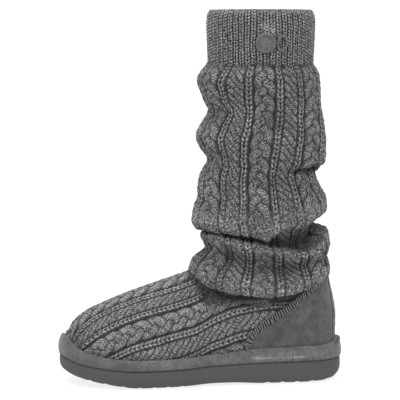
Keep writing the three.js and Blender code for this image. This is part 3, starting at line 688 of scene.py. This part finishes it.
def knit_foot(name, material):
    grid, arc = foot_sections(sole_outline(400), 0.0, lambda x: band_floor(x) + 1.0, 210)
    normal = outward(grid, False)
    x, y, z = np.moveaxis(grid, -1, 0)
    push = 0 * x
    for at, height, long, tall, tilt, depth in FOOT_CREASES:
        off = x - at
        push += smooth(-y, 5, 20) * depth * bell(off, long) * bell(z - height - tilt * off, tall)
    grid = grid + normal * push[..., None]
    x, y, z = np.moveaxis(grid, -1, 0)
    u = np.interp(arc, *np.array(FOOT_COLUMNS).T) + 0.7 * soft_noise(grid, 44, 13)
    v = length_along(grid[:, grid.shape[1] // 2])[:, None] + 0.6 * soft_noise(grid, 20, 14)
    height, hollow, across, along = cable_knit(u, v)
    near_edge = smooth(np.abs(arc).max(1, keepdims=True) - np.abs(arc), 0, 7)
    height = 0.9 * height * (0.25 + 0.75 * near_edge) * (0.75 + 0.25 * smooth(-x, -60, 0))
    height = height + 0.2 * soft_noise(grid, 5.5, 15) - 0.3
    # Shade under the roll, along the band, in the crease of the instep and over the toe
    lip = 98 - 15 * smooth(np.abs(y), 0, 42)
    dark = smooth(z, lip - 16, lip - 2) * smooth(1.17 - under_shaft(x, y, 1.0), 0, 0.12)
    dark += 0.4 * (1 - near_edge)
    dark += 0.35 * bell(x - 46, 22) * bell(z - 75, 2.2) * (y < 0)
    dark += 0.16 * smooth(-x, 80, 130)
    keep = (under_shaft(x, y, 0.72) > 1) | (z < 86)
    masks = {"hollow": hollow, "shadow": np.clip(dark, 0, 1)}
    return sheet_piece(name, grid, normal, height, material, False, masks, (across, along), keep)


def foot_lining(name, material):
    grid, arc = foot_sections(sole_outline(150), 0.4 - KNIT_WALL, lambda x: band_floor(x) + 1.5, 90)
    x, y, z = np.moveaxis(grid, -1, 0)
    keep = (under_shaft(x, y, 0.70) > 1) | (z < 84)
    flat = 0 * arc
    # An even painted shade over the lining inside the foot
    masks = {"hollow": flat, "shadow": flat + 0.3}
    uv = arc / STITCH_WIDTH, x / STITCH_LENGTH
    return sheet_piece(name, grid, -outward(grid, False), flat, material, False, masks, uv, keep)


# Sole, band and counter

# Rings up the outsole's side and up the band: inset from the outline, and height in millimetres over the
# underside, or in shares of the band's height
OUTSOLE_RINGS = [(11, 0), (8, 0.25), (5.5, 0.8), (4.1, 1.55), (2.9, 2.6), (2.3, 3.7), (1.7, 5.2), (1.5, 6.6),
                 (1.35, 7.4), (1.2, 8.6)]
BAND_RINGS = [(7, 0), (2.2, 0), (1.3, 0.02), (0.75, 0.07), (0.3, 0.16), (0.05, 0.26), (0, 0.36), (0.12, 0.46),
              (0.42, 0.56), (0.9, 0.66), (1.5, 0.75), (2.2, 0.83), (3.0, 0.9), (3.9, 0.955), (4.8, 0.98),
              (5.6, 0.97)]
TREAD_DEPTH, TREAD_GROOVE, TREAD_PITCH, TREAD_WAVE, TREAD_END = 2.4, 4.0, 14.0, 3.0, 18.0


def cover(ring, first, base, steps, height):
    """A grid across the sole that closes a ring whose points start at first; its own points start at base."""
    left, right = both_sides(ring)
    last = len(ring) // 2
    share = np.linspace(0, 1, steps)[None, :, None]
    across = left[:, None] * (1 - share) + right[:, None] * share
    across[..., 2] = height(across[..., 0], across[..., 1])
    index = np.empty((last + 1, steps), int)
    index[:, 0] = first + np.arange(last + 1)
    index[:, -1] = first + len(ring) - np.arange(last + 1)
    index[[0, last]] = index[[0, last], :1]
    index[1:-1, 1:-1] = base + np.arange((last - 1) * (steps - 2)).reshape(last - 1, -1)
    quads = index.ravel()[grid_faces(last + 1, steps, False)].tolist()
    faces = [list(dict.fromkeys(quad)) for quad in quads if len(set(quad)) > 2]
    return across[1:-1, 1:-1].reshape(-1, 3), faces

def tread_cut(x, y):
    """Depth of the tread's grooves at places on the underside."""
    wave_length = (BALL_WIDTH + 2 * TREAD_PITCH) / 8
    at = x + TREAD_WAVE * (np.abs((y / wave_length + 4) % 2 - 1) * 2 - 1)
    off = (HEEL_X - TREAD_END - at + TREAD_PITCH / 2) % TREAD_PITCH - TREAD_PITCH / 2
    cut = 1 - smooth(np.abs(off), TREAD_GROOVE / 2 - 0.5, TREAD_GROOVE / 2 + 0.4)
    line = share_along(at + off)
    arch = smooth(line, 0.31, 0.32) * (1 - smooth(line, 0.54, 0.55))
    return TREAD_DEPTH * cut * (1 - arch) * (line > 0.05) * (line < 0.945)


def build_outsole(material):
    edges = sole_outline(330)
    rings = []
    for inset, above in OUTSOLE_RINGS:
        ring = sole_ring(edges, inset, lambda x: underside(x) + above)
        ring[:, 2] += tread_cut(ring[:, 0], ring[:, 1]) * (1 - smooth(above, 0.1, 1.7))
        rings.append(ring)
    for inset, below in ((1.3, 0.9), (1.9, 0), (9, 0)):
        rings.append(sole_ring(edges, inset, lambda x: outsole_top(x) - GAP / 2 - below))
    points, n = join(rings), len(rings[0])
    under, under_faces = cover(rings[0], 0, len(points), 110, lambda x, y: underside(x) + tread_cut(x, y))
    over, over_faces = cover(rings[-1], len(points) - n, len(points) + len(under), 8,
                             lambda x, y: outsole_top(x) - GAP / 2)
    faces = grid_faces(len(rings), n, True).tolist() + [f[::-1] for f in under_faces] + over_faces
    return make_piece("outsole_rubber", join([points, under, over]), faces, material)


def rim_inset(x):
    """How far the band's inner rim stands in, with room for the counter behind."""
    layer = COUNTER_THICKNESS + GAP
    corner = COUNTER_EDGE[0][0]
    return BAND_OVERHANG - GAP - layer * (1 - smooth(share_along(x), corner + 0.04, corner + 0.1))


def build_band(material):
    """The suede band, and the points and normals of its back for the stitches."""
    edges = sole_outline(420)
    bottom = lambda x: outsole_top(x) + GAP / 2
    toe = lambda x: smooth(share_along(x), 0.93, 1.0)
    place = share_along(sole_ring(edges, 0, bottom)[:, 0])
    lift = 3.1 * smooth(place, 0.952, 1.0) + 1.6 * (1 - smooth(place, 0, 0.035))
    rings = []
    for inset, height in BAND_RINGS:
        ring = sole_ring(edges, lambda x: inset * (1 + 0.42 * toe(x) * smooth(height, 0.3, 0.6)),
                         lambda x: bottom(x) + (height - 0.05 * height**3 * toe(x)) * band_height(x))
        x, y = ring[:, 0], ring[:, 1]
        soft = 0.16 * np.sin(x / 9.1 + y / 13) + 0.1 * np.sin(x / 4.3 - y / 5.2)
        ring[:, 2] += soft * smooth(height, 0.3, 0.9) + lift * smooth(height, 0.4, 0.95)
        rings.append(ring)
    for height in (0.9, 0.8):
        ring = sole_ring(edges, rim_inset, lambda x: bottom(x) + (height - 0.04 * toe(x)) * band_height(x))
        ring[:, 2] += lift
        rings.append(ring)
    rings.append(sole_ring(edges, rim_inset, band_floor))
    grid = np.stack(rings)
    # Painted shade: deep inside the rim, low down along the band's foot, and growing toward the toe's tip
    dark = 0 * grid[..., 2] + 0.8
    low = smooth(0.12 - np.array(BAND_RINGS)[:, 1:], 0, 0.12)
    dark[:len(BAND_RINGS)] = low + 0.22 * smooth(place, 0.6, 0.97) + 0.2 * smooth(place, 0.93, 1)
    faces = grid_faces(*grid.shape[:2], True)
    piece = make_piece("midsole_band_suede", grid.reshape(-1, 3), faces, material, masks={"shadow": dark})
    back = np.roll(grid, 60, axis=1)[:, :121]
    return piece, back, outward(back, False)


def counter_height(x):
    """Height of the counter's front edge over a place along the shoe."""
    edge = table_rows(np.array(COUNTER_EDGE), np.linspace(0, len(COUNTER_EDGE) - 1, 300), 0.5)
    along, up = edge[np.argsort(edge[:, 0])].T
    return np.interp(share_along(x), along, up * INSTEP_HEIGHT, left=1.05 * INSTEP_HEIGHT, right=0)


def side_points(left, right, side, z, grow):
    """The foot's side wall at heights z over matching edge points. side is 1 inside, -1 outside."""
    middle, half, top, square = foot_arch(left, right, grow)
    up = np.clip((z - middle[2]) / (top - middle[2]), 0, 0.995)
    return arch_points(middle, half, up, side * (1 - up**square) ** (1 / square), z)


def build_counter(material):
    """The suede counter, a sheet on the foot's back with its edges turned in, and the sheet's points and
    normals for the stitches."""
    grow = GAP + COUNTER_THICKNESS
    foot = sole_ring(sole_outline(420), BAND_OVERHANG - grow, lambda x: band_floor(x) + GAP)
    left, right = both_sides(foot)
    keep = share_along(left[:, 0]) < COUNTER_EDGE[0][0] - 0.001
    left, right = left[keep], right[keep]
    levels = np.linspace(0, 1, 70)
    strips = []
    for side, edge in ((1, left), (-1, right)):
        limit = counter_height(edge[:, :1])
        for _ in range(3):
            limit = counter_height(side_points(left, right, side, np.minimum(limit, 108), grow)[..., 0])
        z = edge[:, 2:] + (np.minimum(limit, 106) - edge[:, 2:]) * levels
        strips.append(side_points(left, right, side, z, grow).swapaxes(0, 1))
    grid = join([strips[0][:, ::-1], strips[1][:, 1:]], axis=1)
    normal = outward(grid, False)
    behind = grid[..., 0] > 95
    seam = bell(grid[..., 1] + 13.5, 0.8) * behind
    welt = bell(grid[..., 1] + 10.8, 1.6) * behind
    push = 0.35 * soft_noise(grid, 26, 17) + 0.18 * soft_noise(grid, 9, 18) - 0.8 * seam + 0.35 * welt
    grid = grid + normal * push[..., None]
    rolled = [grid[-1:] - normal[-1:] * inward - (0, 0, down)
              for inward, down in ((0.5, -0.15), (1.1, -0.1), (1.7, 0.3))]
    full = join([grid] + rolled)
    away = np.pad(normal, ((0, len(rolled)), (0, 0), (0, 0)), mode="edge")
    full = join([full[:, :1] - away[:, :1] * 1.6, full, full[:, -1:] - away[:, -1:] * 1.6], axis=1)
    away = np.pad(away, ((0, 0), (1, 1), (0, 0)), mode="edge")
    # Shade in the seam, over the band, and from the edge inwards as far as the stitches reach
    dark = np.pad(0.8 * seam, ((0, len(rolled)), (1, 1)))
    dark += 0.55 * smooth(4 - np.arange(len(full)), 0, 4)[:, None]
    rim = counter_height(full[..., 0]) - full[..., 2]
    front = (full[..., 0] - (HEEL_X - COUNTER_EDGE[0][0] * SOLE_LENGTH)) * 1.3
    dark += 0.85 * (1 - smooth(np.minimum(rim, front), 6.2, 7.8))
    masks = {"shadow": np.clip(dark, 0, 1)}
    return sheet_piece("heel_counter_suede", full, away, 0 * dark, material, False, masks), grid, normal


# Stitches

def unit(vector):
    return vector / np.linalg.norm(vector, axis=-1, keepdims=True)


def tube(path, radius, sides):
    """A tube along a short path, thinner at its ends, as points and faces."""
    tangent = unit(np.gradient(path, axis=0))
    side = unit(np.cross(tangent, unit(np.cross(tangent[0], (0.3, 0.5, 0.81)))))
    lift = np.cross(side, tangent)
    thick = np.full((len(path), 1, 1), radius)
    thick[[0, -1]] *= 0.35
    angle = np.linspace(0, 2 * np.pi, sides, endpoint=False)[:, None]
    points = path[:, None] + thick * (np.cos(angle) * side[:, None] + np.sin(angle) * lift[:, None])
    cap = list(range(sides))
    caps = [cap[::-1], [q + (len(path) - 1) * sides for q in cap]]
    return points.reshape(-1, 3), grid_faces(len(path), sides, True).tolist() + caps


def stitch_row(name, grid, normal, line, pitch, inward, outward_reach, radius, material, lean):
    """Whip stitches along a line of a surface, each a short thread laid slanting across it."""
    run = length_along(line)
    places = np.arange(pitch, run[-1] - pitch, pitch)
    draw = np.random.default_rng(31)
    places = places + draw.uniform(-0.14, 0.14, len(places)) * pitch
    flat, flat_normal = grid.reshape(-1, 3), normal.reshape(-1, 3)
    nearest = lambda point: np.argmin(np.sum((flat - point) ** 2, axis=1))
    point_on_line = lambda at: np.array([np.interp(at, run, line[:, k]) for k in range(3)])
    points, faces = [], []
    for at in places:
        centre = point_on_line(at)
        tangent = unit(point_on_line(at + 1.5) - centre)
        slant = lean + draw.uniform(-0.15, 0.15)
        way = unit(np.cross(flat_normal[nearest(centre)], tangent) + slant * tangent)
        path = []
        for reach in np.linspace(-outward_reach, inward * draw.uniform(0.82, 1.06), 6):
            wish = centre + way * reach
            on = nearest(wish)
            arch = 0.75 * math.sin(math.pi * (reach + outward_reach) / (inward + outward_reach)) - 0.1
            path.append(wish + flat_normal[on] * (arch - np.dot(wish - flat[on], flat_normal[on])))
        start = sum(len(p) for p in points)
        thread_points, thread_faces = tube(np.array(path), radius, 6)
        points.append(thread_points)
        faces += [[q + start for q in face] for face in thread_faces]
    return make_piece(name, join(points), faces, material)


# Materials

class Net:
    """Short names for making a material's nodes."""

    def __init__(self, name):
        self.material = bpy.data.materials.new(name)
        self.material.use_nodes = True
        self.tree = self.material.node_tree
        self.tree.nodes.clear()
        self.shader = self.add("BsdfPrincipled")
        self.add("OutputMaterial", {"Surface": self.shader.outputs[0]})
        self.place = self.add("TexCoord").outputs["Object"]

    def feed(self, node, inputs):
        """Link outputs of other nodes to a node's inputs, or set them to a number or a colour."""
        for key, value in inputs.items():
            if isinstance(value, bpy.types.NodeSocket):
                self.tree.links.new(value, node.inputs[key])
            else:
                node.inputs[key].default_value = value

    def add(self, kind, inputs=None, **settings):
        node = self.tree.nodes.new("ShaderNode" + kind)
        for key, value in settings.items():
            setattr(node, key, value)
        self.feed(node, inputs or {})
        return node

    def math(self, operation, a, b=0.0, clamp=False):
        return self.add("Math", {0: a, 1: b}, operation=operation, use_clamp=clamp).outputs[0]

    def times(self, a, b):
        return self.math("MULTIPLY", a, b)

    def plus(self, a, b, clamp=False):
        return self.math("ADD", a, b, clamp)

    def off(self, a, b):
        """How far a is from b."""
        return self.math("ABSOLUTE", self.math("SUBTRACT", a, b))

    def split(self, vector):
        return self.add("SeparateXYZ", {0: vector}).outputs

    def noise(self, scale, detail, rough, stretch=None):
        place = self.place
        if stretch is not None:
            place = self.add("Mapping", {"Vector": place, "Scale": stretch}).outputs[0]
        inputs = {"Vector": place, "Scale": scale, "Detail": detail, "Roughness": rough}
        return self.add("TexNoise", inputs).outputs["Fac"]

    def range(self, value, low, high, to_low, to_high):
        inputs = {"Value": value, "From Min": low, "From Max": high, "To Min": to_low, "To Max": to_high}
        return self.add("MapRange", inputs).outputs[0]

    def mix(self, factor, a, b, blend="MIX"):
        return self.add("Mix", {0: factor, 6: a, 7: b}, data_type="RGBA", blend_type=blend).outputs[2]

    def toned(self, color, tone):
        """A colour made lighter or darker by a number."""
        grey = self.add("CombineColor", {0: tone, 1: tone, 2: tone}).outputs[0]
        return self.mix(1.0, color, grey, "MULTIPLY")

    def attribute(self, name):
        return self.add("Attribute", attribute_name=name).outputs["Fac"]

    def bump(self, height, distance, strength):
        return self.add("Bump", {"Height": height, "Distance": distance, "Strength": strength}).outputs[0]

    def finish(self, color, roughness, normal, sheen=0.0, specular=0.35):
        self.feed(self.shader, {
            "Base Color": color, "Roughness": roughness, "Normal": normal,
            "Sheen Weight": sheen, "Sheen Roughness": 0.5, "Specular IOR Level": specular,
        })
        return self.material


def shade(level):
    """A grey as linear colour, from its level between 0 and 255 on screen."""
    x = level / 255
    linear = x / 12.92 if x <= 0.04045 else ((x + 0.055) / 1.055) ** 2.4
    return (linear, linear, linear, 1)


def knit_material(name, light, dark, contrast=1.0):
    net = Net(name)
    across, along = net.split(net.add("UVMap", uv_map="UVMap").outputs[0])[:2]
    wobble = net.range(net.noise(330, 1, 0.5), 0.3, 0.7, -0.15, 0.15)
    middle = net.off(net.math("FRACT", across), 0.5)
    beat = net.math("FRACT", net.plus(net.plus(along, net.times(middle, 1.2)), wobble))
    crown = net.math("POWER", net.math("SINE", net.times(beat, math.pi)), 0.75)
    side = net.range(middle, 0.36, 0.5, 1.0, 0.0)
    legs = net.range(middle, 0.0, 0.17, 0.0, 1.0)
    stitch = net.times(net.times(crown, side), net.range(legs, 0, 1, 0.5, 1.0))
    pinhole = net.times(net.math("SUBTRACT", 1.0, legs), net.math("SUBTRACT", 1.0, crown))
    yarn = net.noise(820, 2, 0.6)
    heather = net.noise(520, 2, 0.65)
    calm = net.attribute("calm")
    # Painted light on each stitch's crown, and painted shade at its sides and in the pinholes between its
    # legs
    tone = net.range(stitch, 0, 1, 1.0 - 0.62 * contrast, 1.0 + 0.5 * contrast)
    tone = net.times(tone, net.range(pinhole, 0, 1, 1.0, 0.3))
    tone = net.plus(net.times(tone, net.range(calm, 0, 1, 1.0, 0.3)), net.range(calm, 0, 1, 0.0, 0.74))
    tone = net.plus(tone, net.range(yarn, 0.37, 0.63, -0.55 * contrast, 0.55 * contrast))
    speck = net.range(heather, 0.38, 0.62, -0.5 * contrast, 0.5 * contrast)
    tone = net.plus(tone, net.times(speck, net.range(calm, 0, 1, 1.0, 1.5)))
    tone = net.times(tone, net.range(net.noise(30, 2, 0.5), 0.3, 0.7, 0.92, 1.08))
    tone = net.times(tone, net.range(net.attribute("shadow"), 0, 1, 1.0, 0.12))
    # The hollows take the dark colour, as painted shade
    color = net.toned(net.mix(net.attribute("hollow"), light, dark), net.math("MAXIMUM", tone, 0.1))
    height = net.plus(net.times(stitch, 0.8), net.times(heather, 0.5))
    return net.finish(color, 0.95, net.bump(height, 0.0013, 1.0), sheen=0.15, specular=0.15)


def suede_material(name, light, dark, mottle, joint=None):
    """Brushed suede. joint: the place in metres of a band joint, with a streak beside it of painted highlight
    and rubbing wear.
    """
    net = Net(name)
    nap = net.noise(1700, 3, 0.6)
    grain = net.noise(480, 3, 0.6)
    brushed = net.noise(70, 4, 0.6, (1, 1, 1.6))
    worn = net.noise(95, 4, 0.7, (1, 1, 0.7))
    cloudy = net.range(net.noise(22, 3, 0.6), 0.35, 0.65, 0, 0.35)
    amount = net.plus(net.range(brushed, 0.3, 0.7, 0, 0.65), cloudy, clamp=True)
    tone = net.plus(net.range(grain, 0.3, 0.7, 1 - mottle, 1 + mottle), net.range(nap, 0.3, 0.7, -0.18, 0.18))
    tone = net.times(tone, net.range(worn, 0.36, 0.66, 0.82, 1.25))
    tone = net.times(tone, net.range(net.attribute("shadow"), 0, 1, 1.0, 0.3))
    if joint is not None:
        x, y, z = net.split(net.place)
        outer = net.times(net.math("LESS_THAN", y, 0.0), net.math("LESS_THAN", z, 0.029))
        line = net.times(net.range(net.off(x, joint), 0.0003, 0.0007, 1, 0), outer)
        edge = net.times(net.range(net.off(x, joint + 0.0012), 0.0003, 0.0009, 1, 0), outer)
        # A streak of painted highlight along the band's bulge on the outer side, broken up like rubbing wear
        streak = net.times(net.range(net.off(z, 0.0252), 0.0004, 0.0016, 1, 0), outer)
        streak = net.times(streak, net.range(net.off(x, 0.068), 0.021, 0.029, 1, 0))
        rubbed_highlight = net.range(net.noise(110, 3, 0.6, (0.35, 1, 1.5)), 0.40, 0.58, 0.1, 1.1)
        tone = net.times(tone, net.range(line, 0, 1, 1.0, 0.6))
        tone = net.plus(tone, net.times(edge, 0.5))
        tone = net.plus(tone, net.times(streak, rubbed_highlight))
    color = net.toned(net.mix(amount, dark, light), tone)
    height = net.plus(net.plus(net.times(nap, 0.5), net.times(grain, 0.7)), net.times(brushed, 0.8))
    roughness = net.range(grain, 0.3, 0.7, 0.82, 0.95)
    return net.finish(color, roughness, net.bump(height, 0.0005, 0.8), sheen=0.25, specular=0.2)


def rubber_material(name, level):
    net = Net(name)
    skin = net.noise(900, 3, 0.6)
    dust = net.noise(45, 3, 0.6, (1, 1, 2.5))
    tone = net.plus(net.range(skin, 0.3, 0.7, 0.95, 1.05), net.range(dust, 0.4, 0.75, -0.03, 0.08))
    roughness = net.range(dust, 0.3, 0.7, 0.62, 0.78)
    return net.finish(net.toned(level, tone), roughness, net.bump(skin, 0.00018, 0.6))


def fleece_material(name, light, dark):
    net = Net(name)
    curl = net.add("TexVoronoi", {"Vector": net.place, "Scale": 380}, feature="F1").outputs["Distance"]
    fuzz = net.noise(1300, 3, 0.65)
    color = net.mix(net.times(net.noise(150, 3, 0.6), fuzz), dark, light)
    height = net.plus(curl, net.times(fuzz, 0.5))
    return net.finish(color, 1.0, net.bump(height, 0.0012, 0.8), sheen=0.4, specular=0.1)


def plain_trim_material(name, light, dark):
    net = Net(name)
    grain = net.noise(500, 3, 0.6)
    wear = net.noise(90, 3, 0.6)
    color = net.mix(net.range(grain, 0.3, 0.7, 0, 1), dark, light)
    normal = net.bump(net.plus(grain, wear), 0.0002, 0.5)
    return net.finish(color, net.range(wear, 0.3, 0.7, 0.45, 0.7), normal, specular=0.4)


# The second grey of each knit is the shade painted into its hollows. The foot's knit is lighter than the
# shaft's: painted light on the vamp, which faces up to the lamps.
knit_cloth = knit_material("wool_knit", shade(122), shade(30), 1.3)
lit_foot_cloth = knit_material("foot_knit", shade(134), shade(38))
cuff_cloth = knit_material("cuff_knit", shade(125), shade(26), 1.15)
band_leather = suede_material("band_suede", shade(101), shade(74), 0.3, joint=0.0819)
counter_leather = suede_material("counter_suede", shade(88), shade(60), 0.2)
sole_rubber = rubber_material("sole_rubber", shade(71))
thread = plain_trim_material("counter_thread", shade(134), shade(84))
dark_thread = plain_trim_material("heel_thread", shade(112), shade(66))
fleece = fleece_material("insole_fleece", shade(150), shade(100))
trim = plain_trim_material("button_trim", shade(100), shade(70))


# Pieces

shaft = knit_shaft("knit_shaft", (CREASE_ROW - 0.1, CUFF_ROW + 0.45, 232), knit_cloth, 0.0)
roll = knit_shaft("knit_ankle_fold", (0.0, CREASE_ROW + 0.1, 130), knit_cloth, 210.0)
cuff = knit_cuff("knit_cuff", cuff_cloth)
foot = knit_foot("knit_foot", lit_foot_cloth)
lining = shaft_lining("knit_shaft_lining", knit_cloth)
toe_lining = foot_lining("knit_foot_lining", knit_cloth)
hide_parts("upper")

outsole = build_outsole(sole_rubber)
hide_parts("outsole")
band, band_back, band_back_normal = build_band(band_leather)
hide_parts("midsole_band")
counter, counter_grid, counter_normal = build_counter(counter_leather)
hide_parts("heel_counter")
CORNER_POINTS, BAND_TOP = 12, 37  # left free behind, and below the counter's front edges
STITCH_RING, STITCH_SPAN = 11, slice(28, 94)  # of the band's back
sides = counter_grid.shape[1] // 2
above_band = lambda line: line[line[:, 2] > BAND_TOP]
inner_edge = join([above_band(counter_grid[:-1, 0]), counter_grid[-1, :sides - CORNER_POINTS]])
outer_edge = join([counter_grid[-1, sides + CORNER_POINTS:], above_band(counter_grid[:-1, -1])[::-1]])
for name, line in (("counter_stitches_inner", inner_edge), ("counter_stitches_outer", outer_edge)):
    stitches = stitch_row(name, counter_grid, counter_normal, line, 2.55, 6.6, 1.5, 0.62, thread, 0.3)

line = band_back[STITCH_RING, STITCH_SPAN]
heel_stitches = stitch_row("heel_band_stitches", band_back, band_back_normal, line, 2.9, 3.2, 2.6, 0.5,
                           dark_thread, 0.7)

for node, material in (("insole", fleece), ("button", trim), ("button_loop", trim)):
    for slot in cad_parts[node].material_slots:
        slot.material = material


# Floor, light and camera

FLOOR_SIZE, FLOOR_LEVEL = 40, -0.0004  # metres
CAMERA_AZIMUTH, CAMERA_HEIGHT, CAMERA_RANGE = -8.0, 382.0, 2200.0
CAMERA_AIM = (-5.0, 0.0, 175.0)
FOCAL_PIXELS, PICTURE_PIXELS, SENSOR_WIDTH = 2343, 400, 36


def build_floor():
    net = Net("floor_paper")
    fibre = net.noise(40, 3, 0.6)
    color = net.mix(1.0, net.mix(fibre, shade(250), shade(253)), shade(125), "MULTIPLY")
    net.feed(net.shader, {"Emission Color": (1, 1, 1, 1), "Emission Strength": 0.83})
    mesh = bpy.data.meshes.new("floor")
    corners = [(x * FLOOR_SIZE, y * FLOOR_SIZE, FLOOR_LEVEL) for x, y in ((-1, -1), (1, -1), (1, 1), (-1, 1))]
    mesh.from_pydata(corners, [], [(0, 1, 2, 3)])
    mesh.materials.append(net.finish(color, 0.9, net.bump(fibre, 0.0001, 0.2), specular=0.1))
    add_object("floor", mesh)


def aim(thing, place, target):
    thing.location = place
    thing.rotation_euler = (Vector(target) - Vector(place)).to_track_quat("-Z", "Y").to_euler()


def area_light(name, place, target, size, power):
    data = bpy.data.lights.new(name, "AREA")
    data.shape = "DISK"
    data.size = size
    data.energy = power
    aim(add_object(name, data), place, target)


build_floor()
world = bpy.data.worlds.new("studio")
world.use_nodes = True
world.node_tree.nodes["Background"].inputs["Color"].default_value = (1, 1, 1, 1)
world.node_tree.nodes["Background"].inputs["Strength"].default_value = 1.0
bpy.context.scene.world = world
area_light("key", (-0.5, -1.9, 1.9), (0, 0, 0.15), 1.0, 23)
area_light("top", (-0.3, -0.1, 2.4), (0, 0, 0.1), 1.4, 22)

camera_data = bpy.data.cameras.new("camera")
camera_data.sensor_width = SENSOR_WIDTH
camera_data.lens = FOCAL_PIXELS * SENSOR_WIDTH / PICTURE_PIXELS
camera_data.shift_x, camera_data.shift_y = 0.01, -0.01
camera = add_object("camera", camera_data)
turn = math.radians(CAMERA_AZIMUTH)
stand = (math.sin(turn) * CAMERA_RANGE + CAMERA_AIM[0], -math.cos(turn) * CAMERA_RANGE, CAMERA_HEIGHT)
aim(camera, Vector(stand) * MM, Vector(CAMERA_AIM) * MM)
bpy.context.scene.camera = camera
bpy.context.scene.view_settings.view_transform = "Standard"
